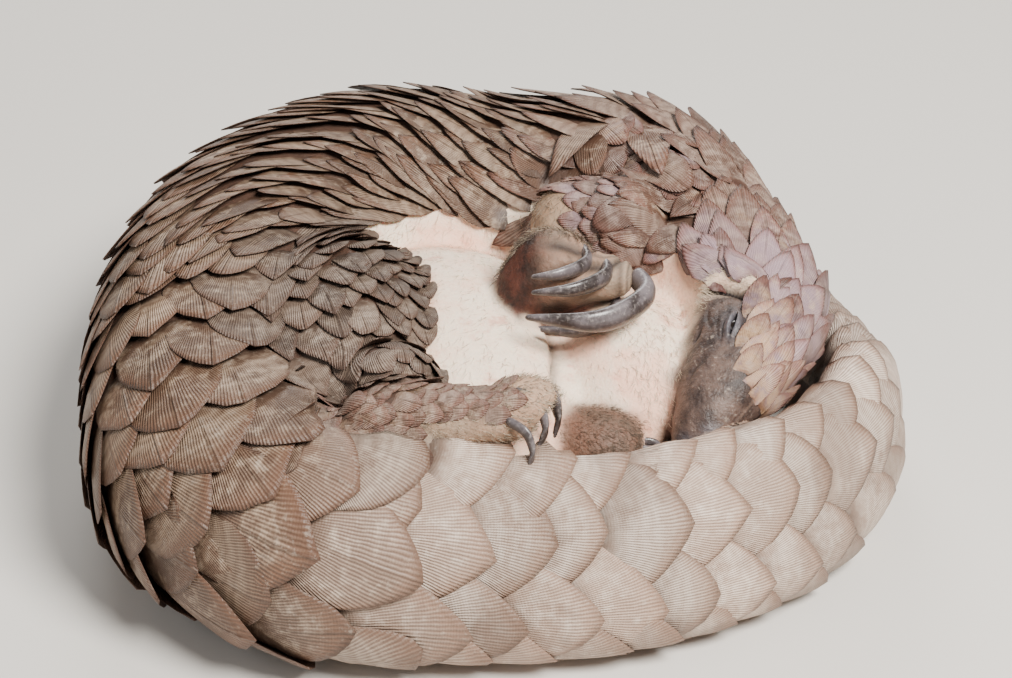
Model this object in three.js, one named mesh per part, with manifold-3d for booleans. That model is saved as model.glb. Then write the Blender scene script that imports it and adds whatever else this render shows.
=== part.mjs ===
// A life-size pangolin curled on its left side, tail wrapped round the front.
// Millimetres, +Z up. The camera side of the animal is -Y and its right flank faces up.
import * as THREE from "three";
import { mergeVertices } from "three/addons/utils/BufferGeometryUtils.js";
import Module from "manifold-3d";

// Driving dimensions
const TRUNK_RADIUS = 48; // half the chest, out to the tips of the scales
const TAIL_HALF_WIDTH = 37; // the tail is broad and stands on its left edge
const TAIL_HALF_DEPTH = 18; // and half as deep as it is broad
const LYING_HEIGHT = 47; // how high the spine lies over the floor
const SAGITTAL_HEIGHT = 48; // left limbs mirror right ones about this level
const GROUND_FULLNESS = 0.72; // under 1, the lower half spreads squarely on the floor
const TOP_FULLNESS = 0.95;
const SKIN_GAP = 0.5; // clearance of a thin cut between two pieces
const FLOOR = 0;

const wasm = await Module();
wasm.setup();

// Stations of the long body, nose to tail tip. The spine's place, then the reach of
// the section towards the back, the belly and each flank, and how far the back leans up.
const STATIONS = {
  nose: [61, -50, 42, 4, 4, 5, 20],
  snout: [65, -46, 52, 9, 9, 9, 20],
  muzzle: [70, -37, 60, 14, 12, 12, 20],
  brow: [78, -19, 64, 23, 17, 17, 18],
  crown: [84, 4, 63, 29, 22, 23, 16],
  nape: [79, 28, 60, 35, 30, 33, 10],
  neck: [66, 52, 54, 46, 36, 43, 4],
  shoulder: [42, 84, 50, 54, 44, 50, 0],
  chest: [5, 95, LYING_HEIGHT, 46, 46, 48, 0],
  ribs: [-35, 97, LYING_HEIGHT, 53, 52, 49, 0],
  loin: [-70, 74, LYING_HEIGHT, 53, 52, 50, 0],
  flank: [-89, 36, LYING_HEIGHT, TRUNK_RADIUS, 52, 50, 0],
  hip: [-91, -6, LYING_HEIGHT, TRUNK_RADIUS, 46, 48, 0],
  rump: [-80, -46, 44, 50, 34, 44, 4],
  tail_root: [-52, -74, 41, 38, 24, 42, 10],
  tail_thigh: [-14, -84.5, 38, 21, 18, 39, 14],
  tail_front: [26, -83.5, 37, 19, 17, TAIL_HALF_WIDTH, 15],
  tail_side: [66, -72, 36, TAIL_HALF_DEPTH, 16, 36, 14],
  tail_bend: [101, -47, 34, 19, 15, 34, 12],
  tail_right: [121, -9, 31, 20, 14, 31, 8],
  tail_rear: [121, 32, 25, 17, 13, 25, 4],
  tail_behind: [112, 70, 20, 13, 12, 20, 2],
  tail_far: [94, 105, 15, 11, 10, 15, 0],
  tail_thin: [66, 131, 11, 8, 8, 11, 0],
  tail_tip: [34, 143, 7, 4, 4, 6, 0],
};
const NAMES = Object.keys(STATIONS);
const LAST = NAMES.length - 1;
const at = (name) => NAMES.indexOf(name);

const curveOf = (pick) =>
  new THREE.CatmullRomCurve3(
    NAMES.map((name) => new THREE.Vector3(...pick(STATIONS[name]))),
    false,
    "catmullrom",
    0.5,
  );
const spine = curveOf((s) => s.slice(0, 3));
const reaches = curveOf((s) => s.slice(3, 6));
const leans = curveOf((s) => [s[6], 0, 0]);

// The spine's point and directions at station number t: on = tailwards, back = dorsal,
// flank = the animal's right, which faces up.
function frameAt(t) {
  const u = THREE.MathUtils.clamp(t / LAST, 0, 1);
  const on = spine.getTangent(u);
  const out = new THREE.Vector3(on.y, -on.x, 0).normalize();
  const up = new THREE.Vector3().crossVectors(out, on);
  const lean = THREE.MathUtils.degToRad(leans.getPoint(u).x);
  const back = out
    .clone()
    .multiplyScalar(Math.cos(lean))
    .addScaledVector(up, Math.sin(lean));
  const flank = up.multiplyScalar(Math.cos(lean)).addScaledVector(out, -Math.sin(lean));
  return { place: spine.getPoint(u), on, back, flank, reach: reaches.getPoint(u) };
}

// A point of the long body's skin: angle 0 is the back's midline, a quarter turn the right flank.
function bodyPoint(t, angle, share) {
  const { place, back, flank, reach } = frameAt(t);
  const fullness = Math.sin(angle) < 0 ? GROUND_FULLNESS : TOP_FULLNESS;
  const swollen = (x) => Math.sign(x) * Math.abs(x) ** fullness;
  const deep = Math.cos(angle) > 0 ? reach.x : reach.y;
  return place
    .addScaledVector(back, swollen(Math.cos(angle)) * deep * share)
    .addScaledVector(flank, swollen(Math.sin(angle)) * reach.z * share);
}

// Moves each vertex of a primitive to where the function says, and lays what would be
// under the floor flat on it.
function shaped(primitive, place) {
  const points = primitive.getAttribute("position");
  const v = new THREE.Vector3();
  for (let i = 0; i < points.count; i++) {
    v.fromBufferAttribute(points, i);
    const p = place(v);
    points.setXYZ(i, p.x, p.y, Math.max(p.z, FLOOR));
  }
  return primitive;
}

// A length of the long body between two stations, cut square to the spine.
function bodyLength(from, to, around, rings) {
  const start = at(from);
  const span = at(to) - start;
  return shaped(new THREE.CylinderGeometry(1, 1, 1, around, rings), (v) => {
    const share = Math.hypot(v.x, v.z);
    return bodyPoint(start + span * (v.y + 0.5), Math.atan2(v.z, v.x), share);
  });
}

// A round-ended limb, toe or claw through points of [x, y, z, radius].
function limb(points, around, rings) {
  const path = new THREE.CatmullRomCurve3(
    points.map((p) => new THREE.Vector3(p[0], p[1], p[2])),
    false,
    "catmullrom",
    0.5,
  );
  const sizes = new THREE.CatmullRomCurve3(
    points.map((p) => new THREE.Vector3(p[3], 0, 0)),
    false,
    "catmullrom",
    0.5,
  );
  const long = path.getLength();
  const firstRadius = points[0][3];
  const lastRadius = points[points.length - 1][3];
  const upwards = new THREE.Vector3(0.02, 0.01, 1);
  return shaped(new THREE.SphereGeometry(1, around, rings), (v) => {
    const along = Math.acos(THREE.MathUtils.clamp(v.y, -1, 1)) / Math.PI;
    const u = 0.5 - 0.5 * Math.cos(Math.PI * along);
    const on = path.getTangent(u);
    const side = new THREE.Vector3().crossVectors(on, upwards).normalize();
    const top = new THREE.Vector3().crossVectors(side, on);
    const start = Math.min(1, (u * long) / firstRadius);
    const end = Math.min(1, ((1 - u) * long) / lastRadius);
    const cap = Math.sqrt((1 - (1 - start) ** 2) * (1 - (1 - end) ** 2));
    const radius = sizes.getPoint(u).x * cap;
    const angle = Math.atan2(v.z, v.x);
    return path
      .getPoint(u)
      .addScaledVector(side, Math.cos(angle) * radius)
      .addScaledVector(top, Math.sin(angle) * radius);
  });
}

// An egg of flesh: centre, half sizes, and a turn about the vertical in degrees.
function egg(centre, halves, turn, around, rings) {
  const axis = new THREE.Vector3(0, 0, 1);
  return shaped(new THREE.SphereGeometry(1, around, rings), (v) =>
    new THREE.Vector3(v.x * halves[0], v.z * halves[1], v.y * halves[2])
      .applyAxisAngle(axis, THREE.MathUtils.degToRad(turn))
      .add(new THREE.Vector3(...centre)),
  );
}

// The left limbs are the right ones seen in the floor's mirror, shifted where they lie.
function mirrored(points, shift = [0, 0, 0]) {
  return points.map(([x, y, z, ...rest]) => [
    x + shift[0],
    y + shift[1],
    2 * SAGITTAL_HEIGHT - z + shift[2],
    ...rest,
  ]);
}

// Forelimb, right: it comes over the neck, and the fist hangs from the wrist.
const UPPER_ARM = [
  [46, 78, 72, 26],
  [58, 56, 77, 24],
  [58, 38, 80, 18],
];
const FOREARM = [
  [58, 38, 79, 18],
  [44, 38, 80, 18.5],
  [28, 39, 81, 17],
  [17, 24, 84, 13],
];
const FIST = [
  [16, 18, 86, 13],
  [20, 4, 85, 15],
  [33, -1, 82, 12],
];
// Claw paths from root to tip, outermost finger first: x, y, z, radius.
const FORE_CLAWS = [
  [[29, 6, 92, 3.4], [30, -4, 93, 3.6], [22, -12, 94, 2.8], [12, -14, 94, 0.9]],
  [[36, 2, 90, 4], [36, -9, 91, 4], [26, -18, 92, 3.2], [12, -20, 92, 0.9]],
  [[46, -2, 87, 4.6], [49, -13, 86, 5], [34, -27, 86, 4.4], [10, -28, 88, 1]],
  [[38, 3, 77, 3.8], [40, -8, 76, 3.6], [28, -18, 76, 2.8], [15, -19, 77, 0.9]],
  [[30, 7, 72, 2.8], [31, -3, 71, 2.6], [23, -10, 71, 2], [14, -11, 72, 0.8]],
];

// Hind limb, right: a broad flat thigh against the hip, shin and foot folded under it.
const THIGH = { centre: [-52, -6, 62], halves: [41, 55, 31], turn: 10 };
const SHIN = [
  [-30, -32, 73, 19],
  [-32, -48, 74, 19],
  [-35, -62, 75, 14],
];
const HIND_FOOT = [
  [-46, -66, 76, 9],
  [-22, -66, 79, 10],
  [14, -68, 77.5, 9.5],
];
const HIND_CLAWS = [
  [[6, -60, 86, 2.6], [17, -62, 84, 3], [20, -64, 76, 2.4], [19, -66, 69, 0.9]],
  [[6, -66, 87, 2.8], [13, -68, 84, 3], [16, -71, 77, 2.4], [14, -73, 70, 0.9]],
  [[8, -56, 80, 2.4], [17, -57, 78, 2.4], [20, -58, 71, 1.8], [19, -59, 65, 0.8]],
  [[4, -74, 82, 2.4], [10, -78, 80, 2.4], [12, -80, 74, 1.8], [11, -81, 69, 0.8]],
];

const LEFT_HIND_SHIFT = [0, 10, 0];

// The left forepaw is drawn up between the throat and the tail, its claws hanging.
const LEFT_FOREARM = [
  [66, 0, 22, 18],
  [46, -22, 34, 16],
  [22, -38, 46, 12],
];
const LEFT_FIST = [
  [16, -41, 49, 11],
  [34, -45, 50, 13],
  [48, -46, 46, 11],
];
const LEFT_FORE_CLAWS = FORE_CLAWS.map((_, i) => {
  const y = -56 + 4.2 * i;
  return [[44, y, 50, 1.8], [52, y, 49, 1.8], [54, y, 38, 1.7], [50, y, 29, 1.2]];
});

const mirroredEgg = ({ centre, halves, turn }) => [mirrored([centre])[0], halves, turn];

// The head's own left and right: a point seen in the plane down its middle.
function acrossHead([x, y, z, ...rest]) {
  const { place, flank } = frameAt(at("crown"));
  const point = new THREE.Vector3(x, y, z);
  const off = point.clone().sub(place).dot(flank);
  return [...point.addScaledVector(flank, -2 * off).toArray(), ...rest];
}
const EYE = [77.6, -20.5, 78, 3.4];
const EAR_RIDGE = [
  [68, -5, 77.5, 2],
  [71, 1, 81, 3],
  [79, 3, 84, 3.2],
  [87, -6, 84.5, 2],
];

// Colours by what a piece is made of.
const SKINS = {
  horn: [0x7d6450, 0.55],
  hide: [0xd9b7a6, 0.7],
  face: [0x5b4d47, 0.6],
  claw: [0x6f6a6a, 0.35],
  eye: [0x120e0c, 0.1],
};

const pieces = [];
function add(name, skin, shape) {
  pieces.push({ name, skin, shape });
}

// Hard small pieces come first, and the flesh round them is cut away.
for (const [side, [x, y, z, radius]] of [["right", EYE], ["left", acrossHead(EYE)]]) {
  add(`eye_${side}`, "eye", egg([x, y, z], [radius, radius, radius], 0, 10, 6));
}
const clawSets = [
  ["fore_right", FORE_CLAWS],
  ["fore_left", LEFT_FORE_CLAWS],
  ["hind_right", HIND_CLAWS],
  ["hind_left", HIND_CLAWS.map((c) => mirrored(c, LEFT_HIND_SHIFT))],
];
for (const [foot, set] of clawSets) {
  set.forEach((points, i) =>
    add(`claw_${foot}_${i + 1}`, "claw", limb(points, 6, 6)),
  );
}
add("ear_right", "hide", limb(EAR_RIDGE, 6, 6));
add("ear_left", "hide", limb(EAR_RIDGE.map(acrossHead), 6, 6));
add("forefoot_right", "hide", limb(FIST, 10, 6));
add("forefoot_left", "hide", limb(LEFT_FIST, 10, 6));
add("hindfoot_right", "hide", limb(HIND_FOOT, 10, 6));
add("hindfoot_left", "hide", limb(mirrored(HIND_FOOT, LEFT_HIND_SHIFT), 10, 6));

add("head", "horn", bodyLength("nose", "nape", 18, 9));
add("neck", "horn", bodyLength("nape", "shoulder", 18, 5));
add("chest", "horn", bodyLength("shoulder", "ribs", 18, 5));
add("loin", "horn", bodyLength("ribs", "flank", 18, 5));
add("hips", "horn", bodyLength("flank", "rump", 18, 5));
add("tail_1", "horn", bodyLength("rump", "tail_thigh", 16, 5));
add("tail_2", "horn", bodyLength("tail_thigh", "tail_side", 16, 5));
add("tail_3", "horn", bodyLength("tail_side", "tail_right", 16, 5));
add("tail_4", "horn", bodyLength("tail_right", "tail_behind", 14, 5));
add("tail_5", "horn", bodyLength("tail_behind", "tail_tip", 12, 7));

add("forearm_right", "horn", limb(FOREARM, 10, 6));
add("upper_arm_right", "horn", limb(UPPER_ARM, 10, 6));
add("forearm_left", "horn", limb(LEFT_FOREARM, 10, 6));
add("upper_arm_left", "horn", limb(mirrored(UPPER_ARM, [6, -10, 0]), 10, 6));
add("shin_right", "horn", limb(SHIN, 10, 6));
add("thigh_right", "horn", egg(THIGH.centre, THIGH.halves, THIGH.turn, 16, 8));
add("shin_left", "horn", limb(mirrored(SHIN, LEFT_HIND_SHIFT), 10, 6));
add("thigh_left", "horn", egg(...mirroredEgg(THIGH), 16, 8));
add("belly", "hide", egg([-16, -6, 46], [50, 68, 34], 8, 16, 9));
add("throat", "hide", egg([43, -4, 46], [29, 40, 30], 0, 14, 9));

// One closed shape with shared corners and its faces outward.
function welded(geometry) {
  const bare = geometry.clone();
  bare.deleteAttribute("normal");
  bare.deleteAttribute("uv");
  const merged = mergeVertices(bare, 1e-3);
  if (solidOf(merged).volume() < 0) {
    const order = merged.index.array;
    for (let i = 0; i < order.length; i += 3) {
      [order[i + 1], order[i + 2]] = [order[i + 2], order[i + 1]];
    }
  }
  merged.computeVertexNormals();
  return merged;
}

// The same shape with its skin moved outward.
function grown(shape, amount) {
  const bigger = shape.clone();
  const points = bigger.getAttribute("position");
  const normals = bigger.getAttribute("normal");
  for (let i = 0; i < points.count; i++) {
    points.setXYZ(
      i,
      points.getX(i) + normals.getX(i) * amount,
      points.getY(i) + normals.getY(i) * amount,
      points.getZ(i) + normals.getZ(i) * amount,
    );
  }
  return bigger;
}

function solidOf(shape) {
  const vertProperties = new Float32Array(shape.getAttribute("position").array);
  const triVerts = new Uint32Array(shape.index.array);
  return new wasm.Manifold(new wasm.Mesh({ numProp: 3, vertProperties, triVerts }));
}

function geometryOf(solid) {
  const mesh = solid.getMesh();
  const points = new Float32Array(mesh.numVert * 3);
  for (let i = 0; i < mesh.numVert; i++) {
    points.set(mesh.vertProperties.subarray(i * mesh.numProp, i * mesh.numProp + 3), i * 3);
  }
  const geometry = new THREE.BufferGeometry();
  geometry.setAttribute("position", new THREE.BufferAttribute(points, 3));
  geometry.setIndex(new THREE.BufferAttribute(mesh.triVerts, 1));
  geometry.computeVertexNormals();
  return geometry;
}

const touches = (a, b) =>
  [0, 1, 2].every((i) => a.min[i] < b.max[i] && b.min[i] < a.max[i]);

// Each piece gives way, by the gap, to every piece made before it.
const animal = new THREE.Group();
const grownBefore = [];
for (const { name, skin, shape } of pieces) {
  const whole = welded(shape);
  let solid = solidOf(whole);
  for (const other of grownBefore) {
    if (touches(solid.boundingBox(), other.boundingBox())) {
      solid = solid.subtract(other);
    }
  }
  const bodies = solid.decompose();
  bodies.sort((a, b) => b.volume() - a.volume());
  grownBefore.push(solidOf(grown(whole, SKIN_GAP)));
  const [colour, roughness] = SKINS[skin];
  const material = new THREE.MeshStandardMaterial({ color: colour, roughness, metalness: 0 });
  const mesh = new THREE.Mesh(geometryOf(bodies[0]), material);
  mesh.name = name;
  animal.add(mesh);
}

// The origin lies on the floor under the middle of the whole.
const box = new THREE.Box3().setFromObject(animal);
const middle = box.getCenter(new THREE.Vector3());
for (const mesh of animal.children) {
  mesh.geometry.translate(-middle.x, -middle.y, -box.min.z);
}

export default animal;
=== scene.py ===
import math
from itertools import product
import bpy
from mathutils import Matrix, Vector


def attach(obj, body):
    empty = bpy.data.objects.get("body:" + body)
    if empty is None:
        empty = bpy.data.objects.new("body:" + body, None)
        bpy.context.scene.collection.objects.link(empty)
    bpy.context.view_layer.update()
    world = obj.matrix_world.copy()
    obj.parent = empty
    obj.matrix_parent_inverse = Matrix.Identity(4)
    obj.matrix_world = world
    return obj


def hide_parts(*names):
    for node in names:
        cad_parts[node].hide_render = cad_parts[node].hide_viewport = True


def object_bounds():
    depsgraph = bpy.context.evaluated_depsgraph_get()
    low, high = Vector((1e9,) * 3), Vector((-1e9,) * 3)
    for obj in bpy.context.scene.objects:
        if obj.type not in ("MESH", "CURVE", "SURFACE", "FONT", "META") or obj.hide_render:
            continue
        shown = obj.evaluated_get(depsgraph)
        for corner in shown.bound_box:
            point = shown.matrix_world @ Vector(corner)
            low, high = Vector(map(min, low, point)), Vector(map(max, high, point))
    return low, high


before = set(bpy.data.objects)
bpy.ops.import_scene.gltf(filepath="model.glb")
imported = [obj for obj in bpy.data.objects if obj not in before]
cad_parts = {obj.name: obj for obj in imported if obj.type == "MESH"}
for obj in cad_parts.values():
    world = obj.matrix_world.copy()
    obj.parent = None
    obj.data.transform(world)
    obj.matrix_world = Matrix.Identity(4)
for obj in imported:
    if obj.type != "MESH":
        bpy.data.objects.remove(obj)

from types import SimpleNamespace

import bpy
import numpy as np
from mathutils import Vector
from mathutils.bvhtree import BVHTree
from mathutils.kdtree import KDTree

cad_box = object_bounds()
rng = np.random.default_rng(7)

# Sizes are in millimetres in the tables and in metres on the objects.
MM = 0.001
ORIGIN_SHIFT = np.array([-1.886, -18.720, 0.0])
GROUND_FULLNESS = 0.72
TOP_FULLNESS = 0.95
SAGITTAL_HEIGHT = 48.0
LYING_FLAT = 1.5

# How far inside the drawn box every corner stays, at its top and low sides, and over
# what length it is eased in, in metres.
TOP_GAP = 0.0001
LOW_GAPS = np.array([0.0001, 0.0001, 0.0002])
TOP_ROOMS = np.array([0.003, 0.003, 0.002])
LOW_ROOMS = np.array([0.003, 0.003, 0.0008])

# The spine, nose to tail tip: its place, the reach of the section to the back, the
# belly and each flank, and how far the back leans up.
STATIONS = {
    "nose": (61, -50, 42, 4, 4, 5, 20),
    "snout": (65, -46, 52, 9, 9, 9, 20),
    "muzzle": (70, -37, 60, 14, 12, 12, 20),
    "brow": (78, -19, 64, 23, 17, 17, 18),
    "crown": (84, 4, 63, 29, 22, 23, 16),
    "nape": (79, 28, 60, 35, 30, 33, 10),
    "neck": (66, 52, 54, 46, 36, 43, 4),
    "shoulder": (42, 84, 50, 54, 44, 50, 0),
    "chest": (5, 95, 47, 46, 46, 48, 0),
    "ribs": (-35, 97, 47, 53, 52, 49, 0),
    "loin": (-70, 74, 47, 53, 52, 50, 0),
    "flank": (-89, 36, 47, 48, 52, 50, 0),
    "hip": (-91, -6, 47, 48, 46, 48, 0),
    "rump": (-80, -46, 44, 50, 34, 44, 4),
    "tail_root": (-52, -74, 41, 38, 24, 42, 10),
    "tail_thigh": (-14, -84.5, 38, 21, 18, 39, 14),
    "tail_front": (26, -83.5, 37, 19, 17, 37, 15),
    "tail_side": (66, -72, 36, 18, 16, 36, 14),
    "tail_bend": (101, -47, 34, 19, 15, 34, 12),
    "tail_right": (121, -9, 31, 20, 14, 31, 8),
    "tail_rear": (121, 32, 25, 17, 13, 25, 4),
    "tail_behind": (112, 70, 20, 13, 12, 20, 2),
    "tail_far": (94, 105, 15, 11, 10, 15, 0),
    "tail_thin": (66, 131, 11, 8, 8, 11, 0),
    "tail_tip": (34, 143, 7, 4, 4, 6, 0),
}
STATION_NAMES = list(STATIONS)
LAST = len(STATIONS) - 1


def at(name):
    """The number of a station along the spine."""
    return STATION_NAMES.index(name)


# Limbs: points of x, y, z, radius.
UPPER_ARM = [(46, 78, 72, 26), (58, 56, 77, 24), (58, 38, 80, 18)]
FOREARM = [(58, 38, 79, 18), (44, 38, 80, 18.5), (28, 39, 81, 17), (17, 24, 84, 13)]
FIST = [(16, 18, 86, 13), (20, 4, 85, 15), (33, -1, 82, 12)]
FORE_CLAWS = [
    [(29, 6, 92, 3.4), (30, -4, 93, 3.6), (22, -12, 94, 2.8), (12, -14, 94, 0.9)],
    [(36, 2, 90, 4), (36, -9, 91, 4), (26, -18, 92, 3.2), (12, -20, 92, 0.9)],
    [(46, -2, 87, 4.6), (49, -13, 86, 5), (34, -27, 86, 4.4), (10, -28, 88, 1)],
    [(38, 3, 77, 3.8), (40, -8, 76, 3.6), (28, -18, 76, 2.8), (15, -19, 77, 0.9)],
    [(30, 7, 72, 2.8), (31, -3, 71, 2.6), (23, -10, 71, 2), (14, -11, 72, 0.8)],
]
SHIN = [(-30, -32, 73, 19), (-32, -48, 74, 19), (-35, -62, 75, 14)]
HIND_FOOT = [(-46, -66, 76, 9), (-22, -66, 79, 10), (14, -68, 77.5, 9.5)]
HIND_CLAWS = [
    [(6, -60, 86, 2.6), (17, -62, 84, 3), (20, -64, 76, 2.4), (19, -66, 69, 0.9)],
    [(6, -66, 87, 2.8), (13, -68, 84, 3), (16, -71, 77, 2.4), (14, -73, 70, 0.9)],
    [(8, -56, 80, 2.4), (17, -57, 78, 2.4), (20, -58, 71, 1.8), (19, -59, 65, 0.8)],
    [(4, -74, 82, 2.4), (10, -78, 80, 2.4), (12, -80, 74, 1.8), (11, -81, 69, 0.8)],
]
EYE = (77.6, -20.5, 78, 3.4)
EAR_RIDGE = [(68, -5, 77.5, 2), (71, 1, 81, 3), (79, 3, 84, 3.2), (87, -6, 84.5, 2)]
THIGH_CENTRE = (-52, -6, 62)
THIGH_HALVES = (41, 55, 31)
THIGH_TURN = 10
BELLY = ((-16, -6, 46), (50, 68, 34), 8)
THROAT = ((43, -4, 46), (29, 40, 30), 0)
LEFT_HIND_SHIFT = (0, 10, 0)

# The left forepaw is drawn up between the throat and the tail, its claws hanging.
LEFT_FOREARM = [(66, 0, 22, 18), (46, -22, 34, 16), (22, -38, 46, 12)]
LEFT_FIST = [(16, -41, 49, 11), (34, -45, 50, 13), (48, -46, 46, 11)]
LEFT_FORE_CLAWS = [
    [(44, y, 50, 1.8), (52, y, 49, 1.8), (54, y, 38, 1.7), (50, y, 29, 1.2)]
    for y in (-56, -51.8, -47.6, -43.4, -39.2)
]

# How deep the skin lies under the solids' outline.
SCALE_DEPTH = 5.0
BARE_DEPTH = 0.6
SKIN_VOXEL = 2.0 * MM


def mirrored(points, shift=(0, 0, 0)):
    """The same limb on the other side of the animal's middle, which lies level."""
    return [
        (p[0] + shift[0], p[1] + shift[1], 2 * SAGITTAL_HEIGHT - p[2] + shift[2], *p[3:])
        for p in points
    ]


def spline(rows):
    """A smooth curve through rows, called with station numbers."""
    rows = np.array(rows, float)
    ends = np.vstack([2 * rows[0] - rows[1], rows, 2 * rows[-1] - rows[-2]])
    last = len(rows) - 1

    def value(t):
        t = np.clip(np.asarray(t, float), 0, last)
        i = np.minimum(t.astype(int), last - 1)
        w = (t - i)[..., None]
        a, b, c, d = ends[i], ends[i + 1], ends[i + 2], ends[i + 3]
        m, n = 0.5 * (c - a), 0.5 * (d - b)
        cubic = 2 * b - 2 * c + m + n
        square = -3 * b + 3 * c - 2 * m - n
        return b + m * w + square * w**2 + cubic * w**3

    return value


def unit(v):
    return v / np.maximum(np.linalg.norm(v, axis=-1, keepdims=True), 1e-9)


def smooth(x, low, high):
    s = np.clip((x - low) / (high - low), 0, 1)
    return s * s * (3 - 2 * s)


body_line = spline(list(STATIONS.values()))


def body_frame(t):
    """Station values, and the directions tailwards, to the back and to the right flank."""
    t = np.asarray(t, float)
    value = body_line(t)
    on = unit(body_line(t + 1e-3)[..., :3] - body_line(t - 1e-3)[..., :3])
    out = unit(np.stack([on[..., 1], -on[..., 0], np.zeros_like(t)], -1))
    up = np.cross(out, on)
    lean = np.radians(value[..., 6])[..., None]
    back = out * np.cos(lean) + up * np.sin(lean)
    flank = up * np.cos(lean) - out * np.sin(lean)
    return value, on, back, flank


# The half angle, back to flank, that is scaled at each station; the rest is bare.
SCALED_HALF = {
    0: 0, 2.2: 0, 2.35: 24, 2.5: 40, 2.75: 52, 3.13: 55, 3.5: 66, 3.9: 86, 4.4: 106,
    5.0: 116, 6.0: 128, 7.0: 142, 7.8: 144, 8.5: 138, 9.5: 139, 10.5: 140, 12.0: 140,
    13.2: 148, 14.0: 181,
}


def table(values, t):
    return np.interp(t, list(values), list(values.values()))


def scaled_half(t):
    return table(SCALED_HALF, t)


def body_point(t, angle, lift=0.0, share=1.0):
    """A place on the long body's outline: 0 degrees is the back, 90 the right flank."""
    value, _, back, flank = body_frame(t)
    full = np.where(np.sin(angle) < 0, GROUND_FULLNESS, TOP_FULLNESS)
    c = np.sign(np.cos(angle)) * np.abs(np.cos(angle)) ** full
    s = np.sign(np.sin(angle)) * np.abs(np.sin(angle)) ** full
    deep = np.where(np.cos(angle) > 0, value[..., 3], value[..., 4])
    across = (c * (deep + lift) * share)[..., None]
    up = (s * (value[..., 5] + lift) * share)[..., None]
    return value[..., :3] + back * across + flank * up


# Making meshes
def deselect():
    bpy.ops.object.select_all(action="DESELECT")


def coords(obj):
    flat = np.empty(len(obj.data.vertices) * 3)
    obj.data.vertices.foreach_get("co", flat)
    return flat.reshape(-1, 3)


def set_coords(obj, points):
    obj.data.vertices.foreach_set("co", np.ascontiguousarray(points, float).ravel())
    obj.data.update()


def eased(value, limit, room):
    """Values above limit less room bend towards limit and never reach it."""
    over = np.maximum(value - (limit - room), 0)
    return np.where(over > 0, limit - room * np.exp(-over / room), value)


def to_metres(points):
    """Table millimetres to metres in the shared frame, kept inside the drawn box."""
    moved = (np.asarray(points) + ORIGIN_SHIFT) * MM
    moved = eased(moved, np.array(cad_box[1]) - TOP_GAP, TOP_ROOMS)
    return -eased(-moved, -np.array(cad_box[0]) - LOW_GAPS, LOW_ROOMS)


def to_table(points):
    return np.asarray(points, float) / MM - ORIGIN_SHIFT


def ball(name, around, rings, place):
    """A sphere whose corners go where the function puts them, on millimetres."""
    deselect()
    bpy.ops.mesh.primitive_uv_sphere_add(segments=around, ring_count=rings, radius=1)
    obj = bpy.context.object
    obj.name = name
    set_coords(obj, to_metres(place(coords(obj))))
    bpy.ops.object.mode_set(mode="EDIT")
    bpy.ops.mesh.select_all(action="SELECT")
    bpy.ops.mesh.normals_make_consistent(inside=False)
    bpy.ops.object.mode_set(mode="OBJECT")
    return obj


def make_active(*objects):
    deselect()
    for obj in objects:
        obj.select_set(True)
    bpy.context.view_layer.objects.active = objects[0]


def joined(name, objects):
    make_active(*objects)
    bpy.ops.object.join()
    objects[0].name = name
    return objects[0]


def apply_modifier(obj, kind, **settings):
    make_active(obj)
    modifier = obj.modifiers.new(kind.title(), kind)
    for key, setting in settings.items():
        setattr(modifier, key, setting)
    bpy.ops.object.modifier_apply(modifier=modifier.name)


def mesh_from(name, points, faces):
    mesh = bpy.data.meshes.new(name)
    mesh.from_pydata([tuple(p) for p in points], [], faces)
    obj = bpy.data.objects.new(name, mesh)
    bpy.context.scene.collection.objects.link(obj)
    return obj


def vertex_normals(obj):
    flat = np.empty(len(obj.data.vertices) * 3)
    obj.data.vertices.foreach_get("normal", flat)
    return flat.reshape(-1, 3)


def shade(obj, material):
    obj.data.materials.clear()
    obj.data.materials.append(material)
    obj.data.polygons.foreach_set("use_smooth", [True] * len(obj.data.polygons))
    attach(obj, "root")


def colour_attribute(obj, name, values):
    layer = obj.data.color_attributes.new(name, "FLOAT_COLOR", "POINT")
    flat = np.ones((len(values), 4), np.float32)
    flat[:, : values.shape[1]] = values
    layer.data.foreach_set("color", flat.ravel())


# Parts of flesh
def long_body():
    """The whole length from nose to tail tip, sunk where scales will lie on it."""

    def place(v):
        down = np.arccos(np.clip(v[:, 2], -1, 1)) / math.pi
        t = down * LAST
        angle = np.arctan2(v[:, 1], v[:, 0])
        nose_cap = np.sqrt(1 - (1 - np.clip(t / 0.35, 0, 1)) ** 2)
        tail_cap = np.sqrt(1 - (1 - np.clip((LAST - t) / 0.3, 0, 1)) ** 2)
        edge = np.degrees(np.abs(angle)) - scaled_half(t)
        depth = SCALE_DEPTH + (BARE_DEPTH - SCALE_DEPTH) * smooth(edge, -8, 6)
        depth = depth * smooth(t, 0, 4)
        depth = np.where(t > 20, depth * (1 - 0.6 * smooth(t, 20, LAST)), depth)
        return body_point(t, angle, -depth, nose_cap * tail_cap)

    return place


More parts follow.
